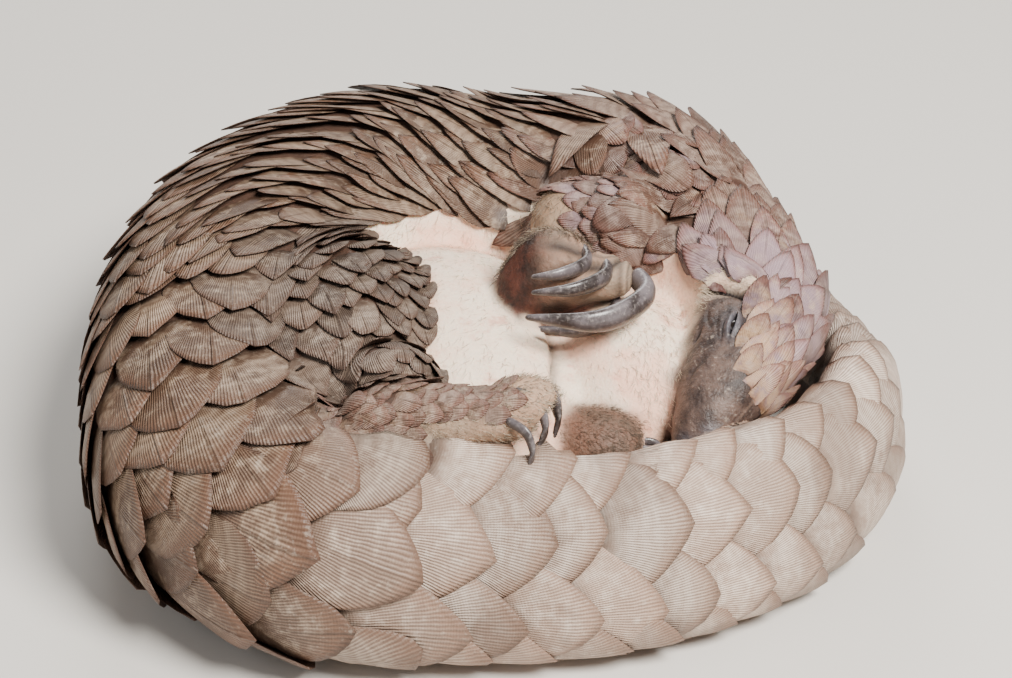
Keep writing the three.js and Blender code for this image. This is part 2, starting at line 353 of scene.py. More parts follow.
def limb(points, inset=0.0, flatten=1.0):
    """A round tapering limb along points, with rounded ends."""
    path = spline(points)
    last = len(points) - 1
    steps = path(np.linspace(0, last, 200))[:, :3]
    long = np.linalg.norm(np.diff(steps, axis=0), axis=1).sum()
    first_radius, last_radius = points[0][3], points[-1][3]

    def place(v):
        u = (1 - v[:, 2]) / 2
        value = path(u * last)
        on = unit(path(u * last + 1e-3)[:, :3] - path(u * last - 1e-3)[:, :3])
        side = unit(np.cross(on, (0.02, 0.01, 1)))
        top = np.cross(side, on)
        start = np.minimum(1, u * long / first_radius)
        end = np.minimum(1, (1 - u) * long / last_radius)
        cap = np.sqrt((1 - (1 - start) ** 2) * (1 - (1 - end) ** 2))
        radius = (value[:, 3:4] - inset) * cap[:, None]
        angle = np.arctan2(v[:, 1], v[:, 0])[:, None]
        across = side * np.cos(angle) * radius * flatten
        return value[:, :3] + across + top * np.sin(angle) * radius

    return place


def egg(centre, halves, turn, inset=0.0):
    """An egg shape turned about the upright by degrees."""
    c, s = math.cos(math.radians(turn)), math.sin(math.radians(turn))
    spin = np.array([[c, -s, 0], [s, c, 0], [0, 0, 1]])

    def place(v):
        return (v * (np.array(halves) - inset)) @ spin.T + np.array(centre)

    return place


def across_head(point):
    """The same place on the left side of the head."""
    value, _, _, flank = body_frame(np.array(at("crown"), float))
    p = np.array(point[:3], float)
    p = p - 2 * np.dot(p - value[:3], flank) * flank
    return (*p, *point[3:])


LEFT_UPPER_ARM = mirrored(UPPER_ARM, (6, -10, 0))
LEFT_SHIN = mirrored(SHIN, LEFT_HIND_SHIFT)
LEFT_HIND_FOOT = mirrored(HIND_FOOT, LEFT_HIND_SHIFT)
LEFT_THIGH_CENTRE = mirrored([THIGH_CENTRE])[0]

FINGERS = [
    [(12, 8, 87, 8), (21, 7, 90, 6.8), (29, 4.5, 91, 6.0)],
    [(14, 2, 85, 9), (25, 2, 88.5, 7.3), (36, 0.5, 89.5, 6.4)],
    [(18, -2, 81, 10), (32, -2, 86, 8.5), (46.5, -3.5, 86.5, 7.4)],
    [(18, 0, 74, 9), (28, 1, 76, 6.5), (38, 2, 77, 4.8)],
    [(16, 4, 72, 8), (22, 6, 72, 6), (30, 6, 72, 4.2)],
]
PALM = [(15, 14, 82, 11), (13, 2, 79, 12), (17, -8, 76, 9)]
TOES = [
    [(0, -62, 80, 6), (8, -61, 83, 5.5), (16, -62, 83.5, 4.4), (18.6, -63, 79, 3.4)],
    [(0, -68, 80, 6), (7, -68, 83, 5.5), (12.5, -68.5, 83.2, 4.4), (15, -70, 79, 3.4)],
]

LIMBS = {
    "forearm_right": (FOREARM, 2.5),
    "forearm_left": (LEFT_FOREARM, 2.5),
    "upper_arm_right": (UPPER_ARM, 4.0),
    "upper_arm_left": (LEFT_UPPER_ARM, 4.0),
    "fist_right": (FIST, 1.0),
    "fist_left": (LEFT_FIST, 1.0),
    "shin_right": (SHIN, 4.0),
    "shin_left": (LEFT_SHIN, 4.0),
    "foot_right": (HIND_FOOT, 1.5),
    "foot_left": (LEFT_HIND_FOOT, 1.5),
    "palm_right": (PALM, 0.0),
    **{f"finger_{n}_right": (rows, 0.3) for n, rows in enumerate(FINGERS, 1)},
    **{f"toe_{n}_right": (rows, 0.3) for n, rows in enumerate(TOES, 1)},
    "ear_right": (EAR_RIDGE, 0.3),
    "ear_left": ([across_head(p) for p in EAR_RIDGE], 0.3),
}
EGGS = {
    "thigh_right": (THIGH_CENTRE, THIGH_HALVES, THIGH_TURN, 4.0),
    "thigh_left": (LEFT_THIGH_CENTRE, THIGH_HALVES, THIGH_TURN, 4.0),
    "belly": (*BELLY, BARE_DEPTH),
    "throat": (*THROAT, BARE_DEPTH),
}

flesh = [ball("long_body", 96, 460, long_body())]
for name, (points, inset) in LIMBS.items():
    flesh.append(ball(name, 40, 32, limb(points, inset)))
for name, (centre, halves, turn, inset) in EGGS.items():
    flesh.append(ball(name, 72, 48, egg(centre, halves, turn, inset)))
skin = joined("skin", flesh)
apply_modifier(skin, "REMESH", mode="VOXEL", voxel_size=SKIN_VOXEL, adaptivity=0.0)
apply_modifier(skin, "SMOOTH", factor=0.5, iterations=8)


def refined(obj, centre, radius, cuts):
    """Splits the faces round a place finely enough to be sculpted."""
    make_active(obj)
    mesh = obj.data
    middles = np.empty(len(mesh.polygons) * 3)
    mesh.polygons.foreach_get("center", middles)
    near = np.linalg.norm(to_table(middles.reshape(-1, 3)) - centre, axis=1) < radius
    bpy.context.tool_settings.mesh_select_mode = (False, False, True)
    bpy.ops.object.mode_set(mode="EDIT")
    bpy.ops.mesh.select_all(action="DESELECT")
    bpy.ops.object.mode_set(mode="OBJECT")
    mesh.polygons.foreach_set("select", near)
    bpy.ops.object.mode_set(mode="EDIT")
    bpy.ops.mesh.subdivide(number_cuts=cuts, smoothness=1.0)
    bpy.ops.object.mode_set(mode="OBJECT")


# The face, the right eye and the fist
for centre, radius, cuts in (((73, -22, 76), 33, 2), ((77, -21, 80), 9, 1), ((25, 0, 84), 24, 1)):
    refined(skin, centre, radius, cuts)


# Where each point of the skin belongs
PART_NAMES = ["body", *LIMBS, *EGGS]
BODY_T, BODY_ANGLE = np.meshgrid(
    np.linspace(0, LAST, 500), np.radians(np.arange(-180, 180, 4)), indexing="ij"
)
BODY_T, BODY_ANGLE = BODY_T.ravel(), BODY_ANGLE.ravel()


def tree_of(points):
    tree = KDTree(len(points))
    for i, p in enumerate(points):
        tree.insert(p, i)
    tree.balance()
    return tree


MEASURING_DEPTH = 2.5
body_tree = tree_of(body_point(BODY_T, BODY_ANGLE, -MEASURING_DEPTH))


def nearest(tree, points):
    return np.array([tree.find(p)[1] for p in points], int)


def distances(points):
    """How far each point is from each part's surface, with its place along the part."""
    far = np.empty((len(PART_NAMES), len(points)))
    along = np.zeros_like(far)
    hit = nearest(body_tree, points)
    surface = body_point(BODY_T[hit], BODY_ANGLE[hit], -MEASURING_DEPTH)
    far[0] = np.linalg.norm(points - surface, axis=1)
    along[0] = BODY_T[hit]
    for k, (rows, inset) in enumerate(LIMBS.values(), 1):
        path = spline(rows)(np.linspace(0, len(rows) - 1, 40))
        gap = np.linalg.norm(points[:, None] - path[None, :, :3], axis=2)
        best = gap.argmin(axis=1)
        far[k] = np.abs(gap[np.arange(len(points)), best] - (path[best, 3] - inset))
        along[k] = best / 39
    for k, (centre, halves, turn, inset) in enumerate(EGGS.values(), 1 + len(LIMBS)):
        angle = math.radians(turn)
        d = points - np.array(centre)
        x = d[:, 0] * math.cos(angle) + d[:, 1] * math.sin(angle)
        y = -d[:, 0] * math.sin(angle) + d[:, 1] * math.cos(angle)
        sizes = np.array(halves) - inset
        q = np.stack([x / sizes[0], y / sizes[1], d[:, 2] / sizes[2]], -1)
        reach = np.linalg.norm(q, axis=1)
        toward = np.linalg.norm(d, axis=1) / np.maximum(reach, 1e-6)
        far[k] = np.abs(reach - 1) * toward
    return far, along, BODY_T[hit], BODY_ANGLE[hit]


def part(name):
    return PART_NAMES.index(name)


def skin_fields():
    """Of each skin corner: place, even normal, owner and place along the body and limbs."""
    points = to_table(coords(skin))
    normals = vertex_normals(skin)
    edges = np.empty(len(skin.data.edges) * 2, np.int64)
    skin.data.edges.foreach_get("vertices", edges)
    edges = edges.reshape(-1, 2)
    for _ in range(6):
        total = normals.copy()
        np.add.at(total, edges[:, 0], normals[edges[:, 1]])
        np.add.at(total, edges[:, 1], normals[edges[:, 0]])
        normals = unit(total)
    far, along, t, angle = distances(points)
    return points, normals, edges, far, along, t, angle, far.argmin(axis=0)


points, normals, skin_edges, far, along, body_t, body_angle, owner = skin_fields()


def owned_by(*starts):
    """The skin corners of the parts whose names begin like this."""
    return np.array([name.startswith(starts) for name in PART_NAMES])[owner]


def turned(way, normal):
    """A direction laid flat on the skin."""
    return unit(way - normal * (way * normal).sum(-1, keepdims=True))


LEG_DOWN = unit(np.array([0.30, -0.95, 0.0]))
TOEWARDS = unit(np.array([1.0, -0.05, 0.0]))


def limb_direction(name, rows):
    """At each skin corner, the way a limb runs from its root to its end."""
    path = spline(rows)
    u = along[part(name)] * (len(rows) - 1)
    return unit(path(np.minimum(u + 0.05, len(rows) - 1))[:, :3] - path(u - 0.05)[:, :3])


def closed_fan():
    """Where the rows beside the belly lie close like a closed fan: 1 right, -1 left."""
    degrees = np.degrees(body_angle)
    share = smooth(np.abs(degrees), 62, 84) * smooth(body_t, 6.3, 7.3)
    return share * (1 - smooth(body_t, 10.8, 12)) * np.sign(degrees)


def coat_direction():
    """Tailwards on the long body, down the leg on the hind limbs, to the toes and claws."""
    _, on, back, _ = body_frame(body_t)
    degrees = np.degrees(body_angle)
    drawn_up = smooth(np.abs(degrees), 70, 120) * smooth(body_t, 6.4, 7.5)
    drawn_up *= 1 - smooth(body_t, 10.6, 12)
    tailwards = unit(on + back * (0.45 * drawn_up)[:, None])
    weights = np.exp(-((far / 5.0) ** 2))
    mix = tailwards * (weights[0] + 1e-4)[:, None]
    for side in ("right", "left"):
        for name in ("thigh_", "shin_"):
            mix += LEG_DOWN * (1.5 * weights[part(name + side)])[:, None]
        mix += TOEWARDS * (3.0 * weights[part("foot_" + side)])[:, None]
        for name in ("upper_arm_", "forearm_", "fist_"):
            way = limb_direction(name + side, LIMBS[name + side][0])
            mix += way * (2.5 * weights[part(name + side)])[:, None]
    return turned(mix, normals)


# Widths of the scales, and how far apart their rings are, by station.
WIDTH_AT = {
    2.2: 11, 3: 13, 4: 14, 5: 15, 6: 16, 7: 17, 8: 19, 10: 20, 11: 21, 12: 25, 13: 37,
    14: 46, 15: 46, 16: 44, 17.5: 40, 19: 34, 20: 28, 21: 22, 22: 17, 23: 12, 24: 8,
}
SPACING_AT = {
    2.2: 10, 3: 12, 4: 13, 5: 14, 6: 15, 7: 15, 8: 14.5, 10: 15, 12: 17, 13: 19,
    14: 21, 15: 20.5, 17: 18, 19: 16, 21: 12, 23: 9, 24: 7,
}
FAN_NARROWING, FAN_STRETCH = 0.34, 0.25


def scale_sizes():
    """How wide and how far apart the scales are at each skin corner."""
    width = table(WIDTH_AT, body_t) * (1 - FAN_NARROWING * np.abs(fan_field))
    spacing = table(SPACING_AT, body_t) * (1 + FAN_STRETCH * np.abs(fan_field))
    inward = scaled_half(body_t) - np.degrees(np.abs(body_angle))
    by_face = (1 - smooth(inward, 4, 24)) * (1 - smooth(body_t, 3.4, 3.9))
    width *= 1 - 0.22 * by_face
    spacing *= 1 - 0.20 * by_face
    front = smooth(points[:, 0], -72, -18)
    low = smooth(-points[:, 1], -5, 45)
    leg_width = 13 + 8 * low * (1 - front) - 4 * front
    leg_spacing = 0.75 * leg_width + 3
    for limb_name, limb_width, limb_spacing in (
        ("thigh", leg_width, leg_spacing),
        ("shin", np.maximum(leg_width * 0.8, 9), np.maximum(leg_spacing * 0.8, 8)),
        ("foot", 7.5, 6.0),
        ("forearm", 9.0, 7.5),
        ("upper_arm", 11.5, 10.0),
    ):
        width = np.where(owned_by(limb_name), limb_width, width)
        spacing = np.where(owned_by(limb_name), limb_spacing, spacing)
    return width, spacing


# The border of the dark face: x by y
FACE_EDGE = {-52: 54, -35: 55.5, -26: 58, -20: 61, -6: 66, -1: 70}


def face_mask():
    """The dark bare side of the head, right and left: 1 inside it."""
    border = table(FACE_EDGE, points[:, 1]) + 0.8 * np.sin(points[:, 1] * 0.5)
    inside = smooth(points[:, 0] - border, -4.0, 4.0)
    edge = np.degrees(np.abs(body_angle)) - scaled_half(body_t)
    inside = inside * smooth(edge, -10, 2) * (1 - smooth(body_t, 3.40, 3.62))
    return inside * (np.abs(points[:, 2] - 60) < 34) * (points[:, 1] < 2)


def scaled_mask():
    """Where scales grow: true, and false on bare skin."""
    mask = owned_by("body") & (np.degrees(np.abs(body_angle)) < scaled_half(body_t))
    for side, up, elbow in (("right", 1, 0.66), ("left", -1, 0.80)):
        facing = up * normals[:, 2]
        mask |= owned_by(f"thigh_{side}", f"shin_{side}") & (facing > 0.12)
        mask |= owned_by(f"upper_arm_{side}") & (facing > -0.3)
        above_wrist = along[part(f"forearm_{side}")] < elbow
        mask |= owned_by(f"forearm_{side}") & above_wrist & (facing > -0.35)
        behind_toes = along[part(f"foot_{side}")] < 0.8
        mask |= owned_by(f"foot_{side}") & behind_toes & (facing > 0.45)
    return mask & (points[:, 2] > LYING_FLAT)


direction = coat_direction()
fan_field = closed_fan()
width_field, spacing_field = scale_sizes()
scaled = scaled_mask()
skin_tree = tree_of(points)


# Folds of the face: a line over the skin, how wide, how high or deep, and how much painted shade it
# gets
EYE_SLIT = np.array([77.0, -21.3, 81.0])
RIGHT_FOLDS = [
    ([(64, 1, 77), (68, -1.6, 80), (74.5, -3.4, 82), (80.8, -8.2, 83), (86, -13, 81.4)],
     1.5, -2.6, 1.0),
    ([(66, 4, 79), (71, 2, 82), (77, 0, 84), (83, -3.5, 85), (88, -10, 83)], 2.4, 1.5, 0.0),
    ([(80.4, -14.5, 82.1), (82.2, -20, 80.5), (83.0, -25, 78.5), (82.6, -29, 77)], 0.9, -1.1, 0.9),
    ([(67.5, -16.5, 76), (65.5, -19.5, 74.3), (63.5, -21, 73)], 0.9, -1.0, 0.9),
    ([(72.8, -14, 80.5), (71.6, -20, 79.5), (72.4, -27, 78)], 0.8, -0.5, 0.35),
    ([(69.5, -9, 79), (69.0, -14, 78), (70, -19, 78)], 0.8, -0.6, 0.4),
    ([(79.4, -13, 82.5), (80.2, -17, 82), (80.6, -22, 81), (80.0, -27, 79.5)], 0.7, -0.5, 0.4),
    ([(76, -11.5, 82), (75.2, -14, 81.6), (74.6, -17, 81)], 0.7, -0.45, 0.3),
    ([(78, -28.5, 79), (75, -31, 77.5), (72, -32, 76)], 0.8, -0.4, 0.3),
    ([(68, -30, 74), (64, -33, 71), (61, -37, 67)], 1.2, -0.7, 0.3),
    ([(76, -34, 74), (71, -37, 72.5), (66, -37.5, 70.5)], 1.0, -0.45, 0.25),
    ([(77, -40, 70), (71, -43, 69), (64, -43, 66.5)], 1.0, -0.45, 0.25),
]


def line_distance(places, line, steps=24):
    dense = spline(line)(np.linspace(0, len(line) - 1, steps))
    gap = np.linalg.norm(places[:, None] - dense[None], axis=2)
    fade = np.sin(np.pi * np.clip(gap.argmin(1) / (steps - 1), 0.06, 0.94)) ** 0.5
    return gap.min(1), fade


def sculpt_head():
    """Raises and sinks the skin of the head; gives back the painted shade in each fold, eye slit,
    nostril and mouth, and where it is glossy.
    """
    lift = np.zeros(len(points))
    darkness = np.zeros(len(points))
    gloss_and_sheen = np.zeros(len(points))
    for side in (1, -1):
        folds = RIGHT_FOLDS if side == 1 else [
            ([across_head(p) for p in line], *rest) for line, *rest in RIGHT_FOLDS
        ]
        slit = EYE_SLIT if side == 1 else np.array(across_head(EYE_SLIT))
        middle = points[skin_tree.find(slit)[1]]
        near = np.where(np.linalg.norm(points - middle, axis=1) < 45)[0]
        here = points[near]
        for line, width, depth, dark in folds:
            gap, fade = line_distance(here, line)
            share = np.exp(-((gap / width) ** 2)) * fade
            lift[near] += depth * share
            # Painted shade in the crease of each fold.
            darkness[near] = np.maximum(darkness[near], dark * share)
        normal = normals[skin_tree.find(slit)[1]]
        _, on, _, _ = body_frame(np.array([2.95]))
        along_eye = turned(on[0], normal)
        across_eye = np.cross(normal, along_eye)
        d = here - slit
        u, v = d @ along_eye, d @ across_eye
        close = np.exp(-((d @ normal) / 6.0) ** 2)
        opening = 0.60 * np.clip(1 - (u / 4.8) ** 2, 0, 1)
        mound = 1.5 * np.exp(-((u / 6.5) ** 2 + (v / 4.6) ** 2))
        rim = 0.55 * np.exp(-(((np.abs(v) - opening - 0.8) / 0.6) ** 2)) * smooth(6.4 - np.abs(u), 0, 2)
        inside = (1 - smooth(np.abs(v) - opening, -0.55, 0.35)) * (np.abs(u) < 4.8)
        lid = np.exp(-(((np.abs(v) - opening - 2.7) / 0.45) ** 2)) * smooth(7.5 - np.abs(u), 0, 3)
        lift[near] += close * (mound + rim - 3.6 * inside - 0.55 * lid)
        # Painted shade in the eye slit and in the crease over the lid.
        darkness[near] = np.maximum(darkness[near], close * np.maximum(inside, 0.5 * lid))
        gloss_and_sheen[near] = np.maximum(gloss_and_sheen[near], close * np.exp(-((u / 5.5) ** 2 + (v / 2.8) ** 2)))
        # The nose pad: glossy, and its bluish lid tone is a painted highlight.
        pad = body_point(np.array([0.75, 1.25]), np.radians(np.array([62.0, 30.0]) * side), -0.5)
        for centre, reach in ((pad[0], 4.5), (pad[1], 3.0)):
            share = np.exp(-((np.linalg.norm(here - centre, axis=1) / reach) ** 2))
            gloss_and_sheen[near] = np.maximum(gloss_and_sheen[near], 0.9 * share)
            lift[near] += 0.5 * share
        nostril = body_point(np.array([0.45]), np.radians(np.array([70.0 * side])), -0.5)[0]
        gap = np.linalg.norm(here - nostril, axis=1)
        hole = np.exp(-((gap / 1.3) ** 2))
        lift[near] -= 1.6 * hole
        # Painted shade in the nostril.
        darkness[near] = np.maximum(darkness[near], hole)
        mouth = body_point(np.linspace(0.5, 2.0, 5), np.radians(np.full(5, 142.0 * side)), -0.5)
        gap, fade = line_distance(here, mouth)
        share = np.exp(-((gap / 0.8) ** 2)) * fade
        lift[near] -= 0.9 * share
        # Painted shade along the mouth.
        darkness[near] = np.maximum(darkness[near], share)
    return lift, darkness, gloss_and_sheen


def sculpt_hand():
    """Sinks the skin between and across the fingers; gives back painted shade there, the stripes partly
    the skin's own dark lines.
    """
    axes = [spline(rows)(np.linspace(0, 2, 30))[:, :3] for rows in FINGERS[:3]]
    near = np.where(np.linalg.norm(points - np.array((28, 0, 86)), axis=1) < 26)[0]
    gaps = np.stack([np.linalg.norm(points[near][:, None] - a[None], axis=2).min(1) for a in axes])
    order_of = np.sort(gaps, axis=0)
    between_two = np.exp(-(((order_of[1] - order_of[0]) / 1.3) ** 2)) * smooth(14 - order_of[0], 0, 4)
    between_two = between_two * smooth(points[near, 0], 12, 20)
    lift = np.zeros(len(points))
    lift[near] -= 1.5 * between_two
    stripes = 0.5 + 0.5 * np.cos(order_of[0] * 4.2 + points[near, 0] * 0.25)
    on_finger = smooth(points[near, 0], 14, 22) * smooth(12 - order_of[0], 0, 3)
    lift[near] -= 0.25 * stripes * on_finger
    darkness = np.zeros(len(points))
    # Painted shade between the fingers; the stripes are partly painted shade in their grooves, partly
    # dark lines of the skin.
    darkness[near] = np.maximum(0.75 * between_two, 0.5 * stripes * on_finger)
    return lift, darkness


head_lift, fold_shade, gloss_and_sheen = sculpt_head()
hand_lift, hand_shade = sculpt_hand()
fold_shade = np.maximum(fold_shade, hand_shade)
# The deep crease where the throat meets the belly, sunk and darkened with painted shade
CREASE = [(15, -6, 72), (19, -13, 69.5), (20, -24, 68), (20, -33, 66), (21, -42, 62)]
gap, fade = line_distance(points, CREASE)
hand_lift -= 2.6 * np.exp(-((gap / 2.0) ** 2)) * fade
fold_shade = np.maximum(fold_shade, 0.7 * np.exp(-((gap / 1.5) ** 2)) * fade)
points = points + normals * (head_lift + hand_lift)[:, None]
set_coords(skin, to_metres(points))


# Placing the scales
class Coat:
    """Roots of the scales, kept apart by a measure that is longer along the coat."""

    CELL = 22.0
    ACROSS = 0.575

    def __init__(self):
        self.roots = []
        self.cells = {}

    def cell(self, place):
        return tuple((place // self.CELL).astype(int))

    def free(self, k, closest):
        """Whether a new scale at a corner of the skin keeps clear of the others."""
        across_way = np.cross(normals[k], direction[k])
        x, y, z = self.cell(points[k])
        for dx, dy, dz in product((-1, 0, 1), repeat=3):
            for other in self.cells.get((x + dx, y + dy, z + dz), ()):
                gap = other["place"] - points[k]
                width = 0.5 * (width_field[k] + other["width"])
                spacing = 0.5 * (spacing_field[k] + other["spacing"])
                across = gap @ across_way / (self.ACROSS * width)
                lengthwise = gap @ direction[k] / spacing
                deep = gap @ normals[k] / width
                if across**2 + lengthwise**2 + deep**2 < closest**2:
                    return False
        return True

    def add(self, root_at, way, width, spacing, t, angle, vertex):
        """A scale rooted at one corner of the skin, with the looks that suit another."""
        root = dict(
            place=points[root_at], normal=normals[root_at], direction=way, width=width,
            spacing=spacing, t=t, angle=angle, vertex=vertex,
        )
        self.cells.setdefault(self.cell(root["place"]), []).append(root)
        self.roots.append(root)

    def add_vertex(self, k):
        size = width_field[k], spacing_field[k]
        self.add(k, direction[k], *size, body_t[k], body_angle[k], k)


coat = Coat()


def arc_stations(first, last):
    """Stations from first to last, a scale's spacing apart along the spine."""
    found = [first]
    fine = np.linspace(first, last, 2000)
    line = body_line(fine)[:, :3]
    run = np.concatenate([[0], np.cumsum(np.linalg.norm(np.diff(line, axis=0), axis=1))])
    t = first
    while True:
        here = np.interp(t, fine, run) + float(table(SPACING_AT, t))
        if here > run[-1]:
            return found
        t = float(np.interp(here, run, fine))
        found.append(t)


def place_on_body(t, angle):
    """Roots a scale at a station and angle, where the body's own skin is there."""
    p = body_point(np.array([t]), np.array([angle]), -SCALE_DEPTH)[0]
    _, k, gap = skin_tree.find(p)
    if gap > 4.0 or PART_NAMES[owner[k]] != "body" or points[k][2] < LYING_FLAT:
        return
    _, on, _, _ = body_frame(np.array([t]))
    way = direction[k] if t < 12.5 else turned(on[0], normals[k])
    # A ring of scales opens out on the outside of a bend, and closes on the inside.
    ends = np.array([t - 0.05, t + 0.05])
    side = body_point(ends, np.full(2, angle))
    spine = body_line(ends)[:, :3]
    stretch = np.linalg.norm(side[1] - side[0]) / np.linalg.norm(spine[1] - spine[0])
    fan = abs(float(fan_field[k]))
    width = float(table(WIDTH_AT, t)) * (1 - FAN_NARROWING * fan)
    spacing = float(table(SPACING_AT, t)) * float(np.clip(stretch, 0.75, 1.5))
    coat.add(k, way, width, spacing * (1 + FAN_STRETCH * fan), t, angle, k)


def lay_rows(series, first, last, all_round):
    """Lengthwise rows of scales at these degrees round the body, each half a step on."""
    stations = arc_stations(first, last)
    for number, degrees in enumerate(series):
        for a, b in zip(stations, stations[1:]):
            t = a if number % 2 == 0 else 0.5 * (a + b)
            if all_round or abs(degrees) < scaled_half(t) - 2:
                place_on_body(t, math.radians(degrees))


# On the side that faces up the rows lie closer towards the belly, like a closed fan.
TAIL_SERIES = (88, 24, -20, -66, -118, 180, 122)
TRUNK_SERIES = (*range(-132, 61, 12), *range(69, 141, 8))
lay_rows(TAIL_SERIES, at("tail_root") - 0.85, LAST - 0.15, all_round=True)
lay_rows(TRUNK_SERIES, 5.2, 11.9, all_round=False)

NEXT_STEPS = ((0.5, 0.5), (-0.5, 0.5), (0.5, -0.5), (-0.5, -0.5), (0, 1), (0, -1))
SPREAD_CLOSEST, FILL_CLOSEST = 0.74, 0.86


def spread():
    """Grows the pattern outward from the scales that are there, over all that is scaled."""
    for root in coat.roots:
        across = np.cross(root["normal"], root["direction"])
        for a, b in NEXT_STEPS:
            step = across * (a * root["width"]) + root["direction"] * (b * root["spacing"])
            _, k, gap = skin_tree.find(root["place"] + step)
            if scaled[k] and gap <= 6.0 and coat.free(k, SPREAD_CLOSEST):
                coat.add_vertex(k)


spread()
for k in np.argsort(-points[:, 2], kind="stable")[::7]:
    if scaled[k] and coat.free(k, FILL_CLOSEST):
        coat.add_vertex(k)


# One scale's shape
STRIDE = 2.0
HELD_BACK = 0.08


def scale_template(across, lengthwise):
    """Places s across, -1 to 1, and r along, 0 to 1, of a scale's corners, and its faces."""
    s = np.sin(np.linspace(-0.5, 0.5, across) * math.pi)
    r = np.linspace(0, 1, lengthwise) ** 0.85
    grid_r, grid_s = np.meshgrid(r, s, indexing="ij")
    top = np.arange(across * lengthwise).reshape(lengthwise, across)
    low = top + top.size
    faces = []
    for i in range(lengthwise - 1):
        for j in range(across - 1):
            faces.append((top[i, j], top[i, j + 1], top[i + 1, j + 1], top[i + 1, j]))
            faces.append((low[i, j], low[i + 1, j], low[i + 1, j + 1], low[i, j + 1]))
    rim = [(0, j) for j in range(across)]
    rim += [(i, across - 1) for i in range(1, lengthwise)]
    rim += [(lengthwise - 1, j) for j in range(across - 2, -1, -1)]
    rim += [(i, 0) for i in range(lengthwise - 2, 0, -1)]
    for a, b in zip(rim, rim[1:] + rim[:1]):
        faces.append((top[b], top[a], low[a], low[b]))
    return grid_s.ravel(), grid_r.ravel(), np.array(faces)


def on_skin(places, old_normals, home):
    """The skin's points under places, its normals there, and which of them may be used.

    A far jump isn't made. A scale that has a home station on the body doesn't climb onto
    a limb or another part of the curl.
    """
    k = nearest(skin_tree, places)
    n = normals[k]
    drop = ((places - points[k]) * n).sum(-1, keepdims=True)
    calm = (np.abs(drop) < 3.5) & ((n * old_normals).sum(-1, keepdims=True) > 0.2)
    own = (np.abs(body_t[k] - home) < 2.5) & ((owner[k] == 0) | (home < 12.8))
    kept = (own | (home < 0))[:, None]
    calm &= kept
    return np.where(calm, places - n * drop, places), np.where(calm, n, old_normals), kept


def laid_out(start, ahead, normal, widths, lengths, home, columns=7, rows=7):
    """A grid of skin points and normals under each scale, found by walking over the skin."""
    grid = np.zeros((len(start), rows, columns, 3))
    up = np.zeros_like(grid)
    middle = columns // 2

    def walk(place, normal, way, reach):
        steps = max(1, round(float(reach.max()) / STRIDE))
        for _ in range(steps):
            step = way * (reach / steps)[:, None]
            ahead, normal, kept = on_skin(place + step, normal, home)
            place = np.where(kept, ahead, place + HELD_BACK * step)
            way = turned(way, normal)
        return place, normal, way

    place, n, d = start, normal, ahead
    for i in range(rows):
        if i:
            place, n, d = walk(place, n, d, lengths / (rows - 1))
        grid[:, i, middle], up[:, i, middle] = place, n
        for sign in (1, -1):
            p, m, across = place, n, np.cross(d, n) * sign
            for j in range(1, middle + 1):
                p, m, across = walk(p, m, across, widths / (columns - 1))
                grid[:, i, middle + sign * j], up[:, i, middle + sign * j] = p, m
    return grid, up


def between(grid, row, col):
    """Reads the grid of each scale at fractional rows and columns."""
    i = np.clip(row.astype(int), 0, grid.shape[1] - 2)
    j = np.clip(col.astype(int), 0, grid.shape[2] - 2)
    a, b = (row - i)[..., None], (col - j)[..., None]
    k = np.arange(len(grid))[:, None]
    low = grid[k, i, j] * (1 - b) + grid[k, i, j + 1] * b
    high = grid[k, i + 1, j] * (1 - b) + grid[k, i + 1, j + 1] * b
    return low * (1 - a) + high * a


def region_of(root):
    """Shares of tail, head and leg in how a scale looks."""
    name, t = PART_NAMES[owner[root["vertex"]]], root["t"]
    arm = name.startswith(("upper_arm", "forearm"))
    on_leg = name.startswith(("thigh", "shin", "foot"))
    tail = 0.0 if arm or on_leg else float(smooth(t, 13.2, 14.7))
    on_head = 1 - 0.55 * smooth(t, 3.8, 4.8) - 0.45 * smooth(t, 6.4, 7.6)
    head = 0.72 if arm else 0.0 if on_leg else float(on_head)
    near_leg = float(1 - smooth(far[part("thigh_right")][root["vertex"]], 4, 24))
    leg = 1.0 if on_leg else near_leg * (1 - tail) * (1 - head)
    if name.startswith(("foot", "shin")):
        low = float(smooth(-root["place"][1], 45, 58))
        leg, head = 1 - 0.75 * low, 0.45 * low
    return tail, head, leg


def column(values):
    return np.array(list(values), float)[:, None]


# What lies against the tail, as x, y, z, radius: the muzzle, right hind foot and fists
NEIGHBOURS = np.concatenate(
    [body_line(np.linspace(0.1, 3.2, 30))[:, [0, 1, 2, 5]]]
    + [spline(rows)(np.linspace(0, 2, 30))[:, :4] for rows in (HIND_FOOT, LEFT_FIST, FIST)]
)
tail_tree = tree_of(body_point(BODY_T[BODY_T > 12], BODY_ANGLE[BODY_T > 12], -SCALE_DEPTH))


def astray(root):
    """Whether a scale of the tail is squeezed in by a neighbour, or ends off the tail."""
    if root["t"] < 13 or owner[root["vertex"]] > 0:
        return False
    gap = (np.linalg.norm(NEIGHBOURS[:, :3] - root["place"], axis=1) - NEIGHBOURS[:, 3]).min()
    if root["t"] < 18 and 1.6 < root["angle"] < 2.7 and gap < 7:
        return True
    steps = 12
    step = 1.55 * root["spacing"] / steps
    place, normal, way = root["place"][None], root["normal"][None], root["direction"][None]
    for _ in range(steps):
        place, normal, _ = on_skin(place + way * step, normal, np.array([root["t"]]))
        way = turned(way, normal)
    return tail_tree.find(place[0])[2] > 5.0


def tucked(world):
    """Corners of the tail's scales that would lie over a neighbour go under its skin."""
    gap = np.linalg.norm(world[:, None] - NEIGHBOURS[None, :, :3], axis=2)
    gap = gap / (NEIGHBOURS[:, 3] + 1.5)
    middle = NEIGHBOURS[gap.argmin(1), :3]
    near = gap.min(1, keepdims=True)
    inner = middle + (world - middle) * 0.62 / np.maximum(near, 0.62)
    return np.where(near < 1.0, inner, world)


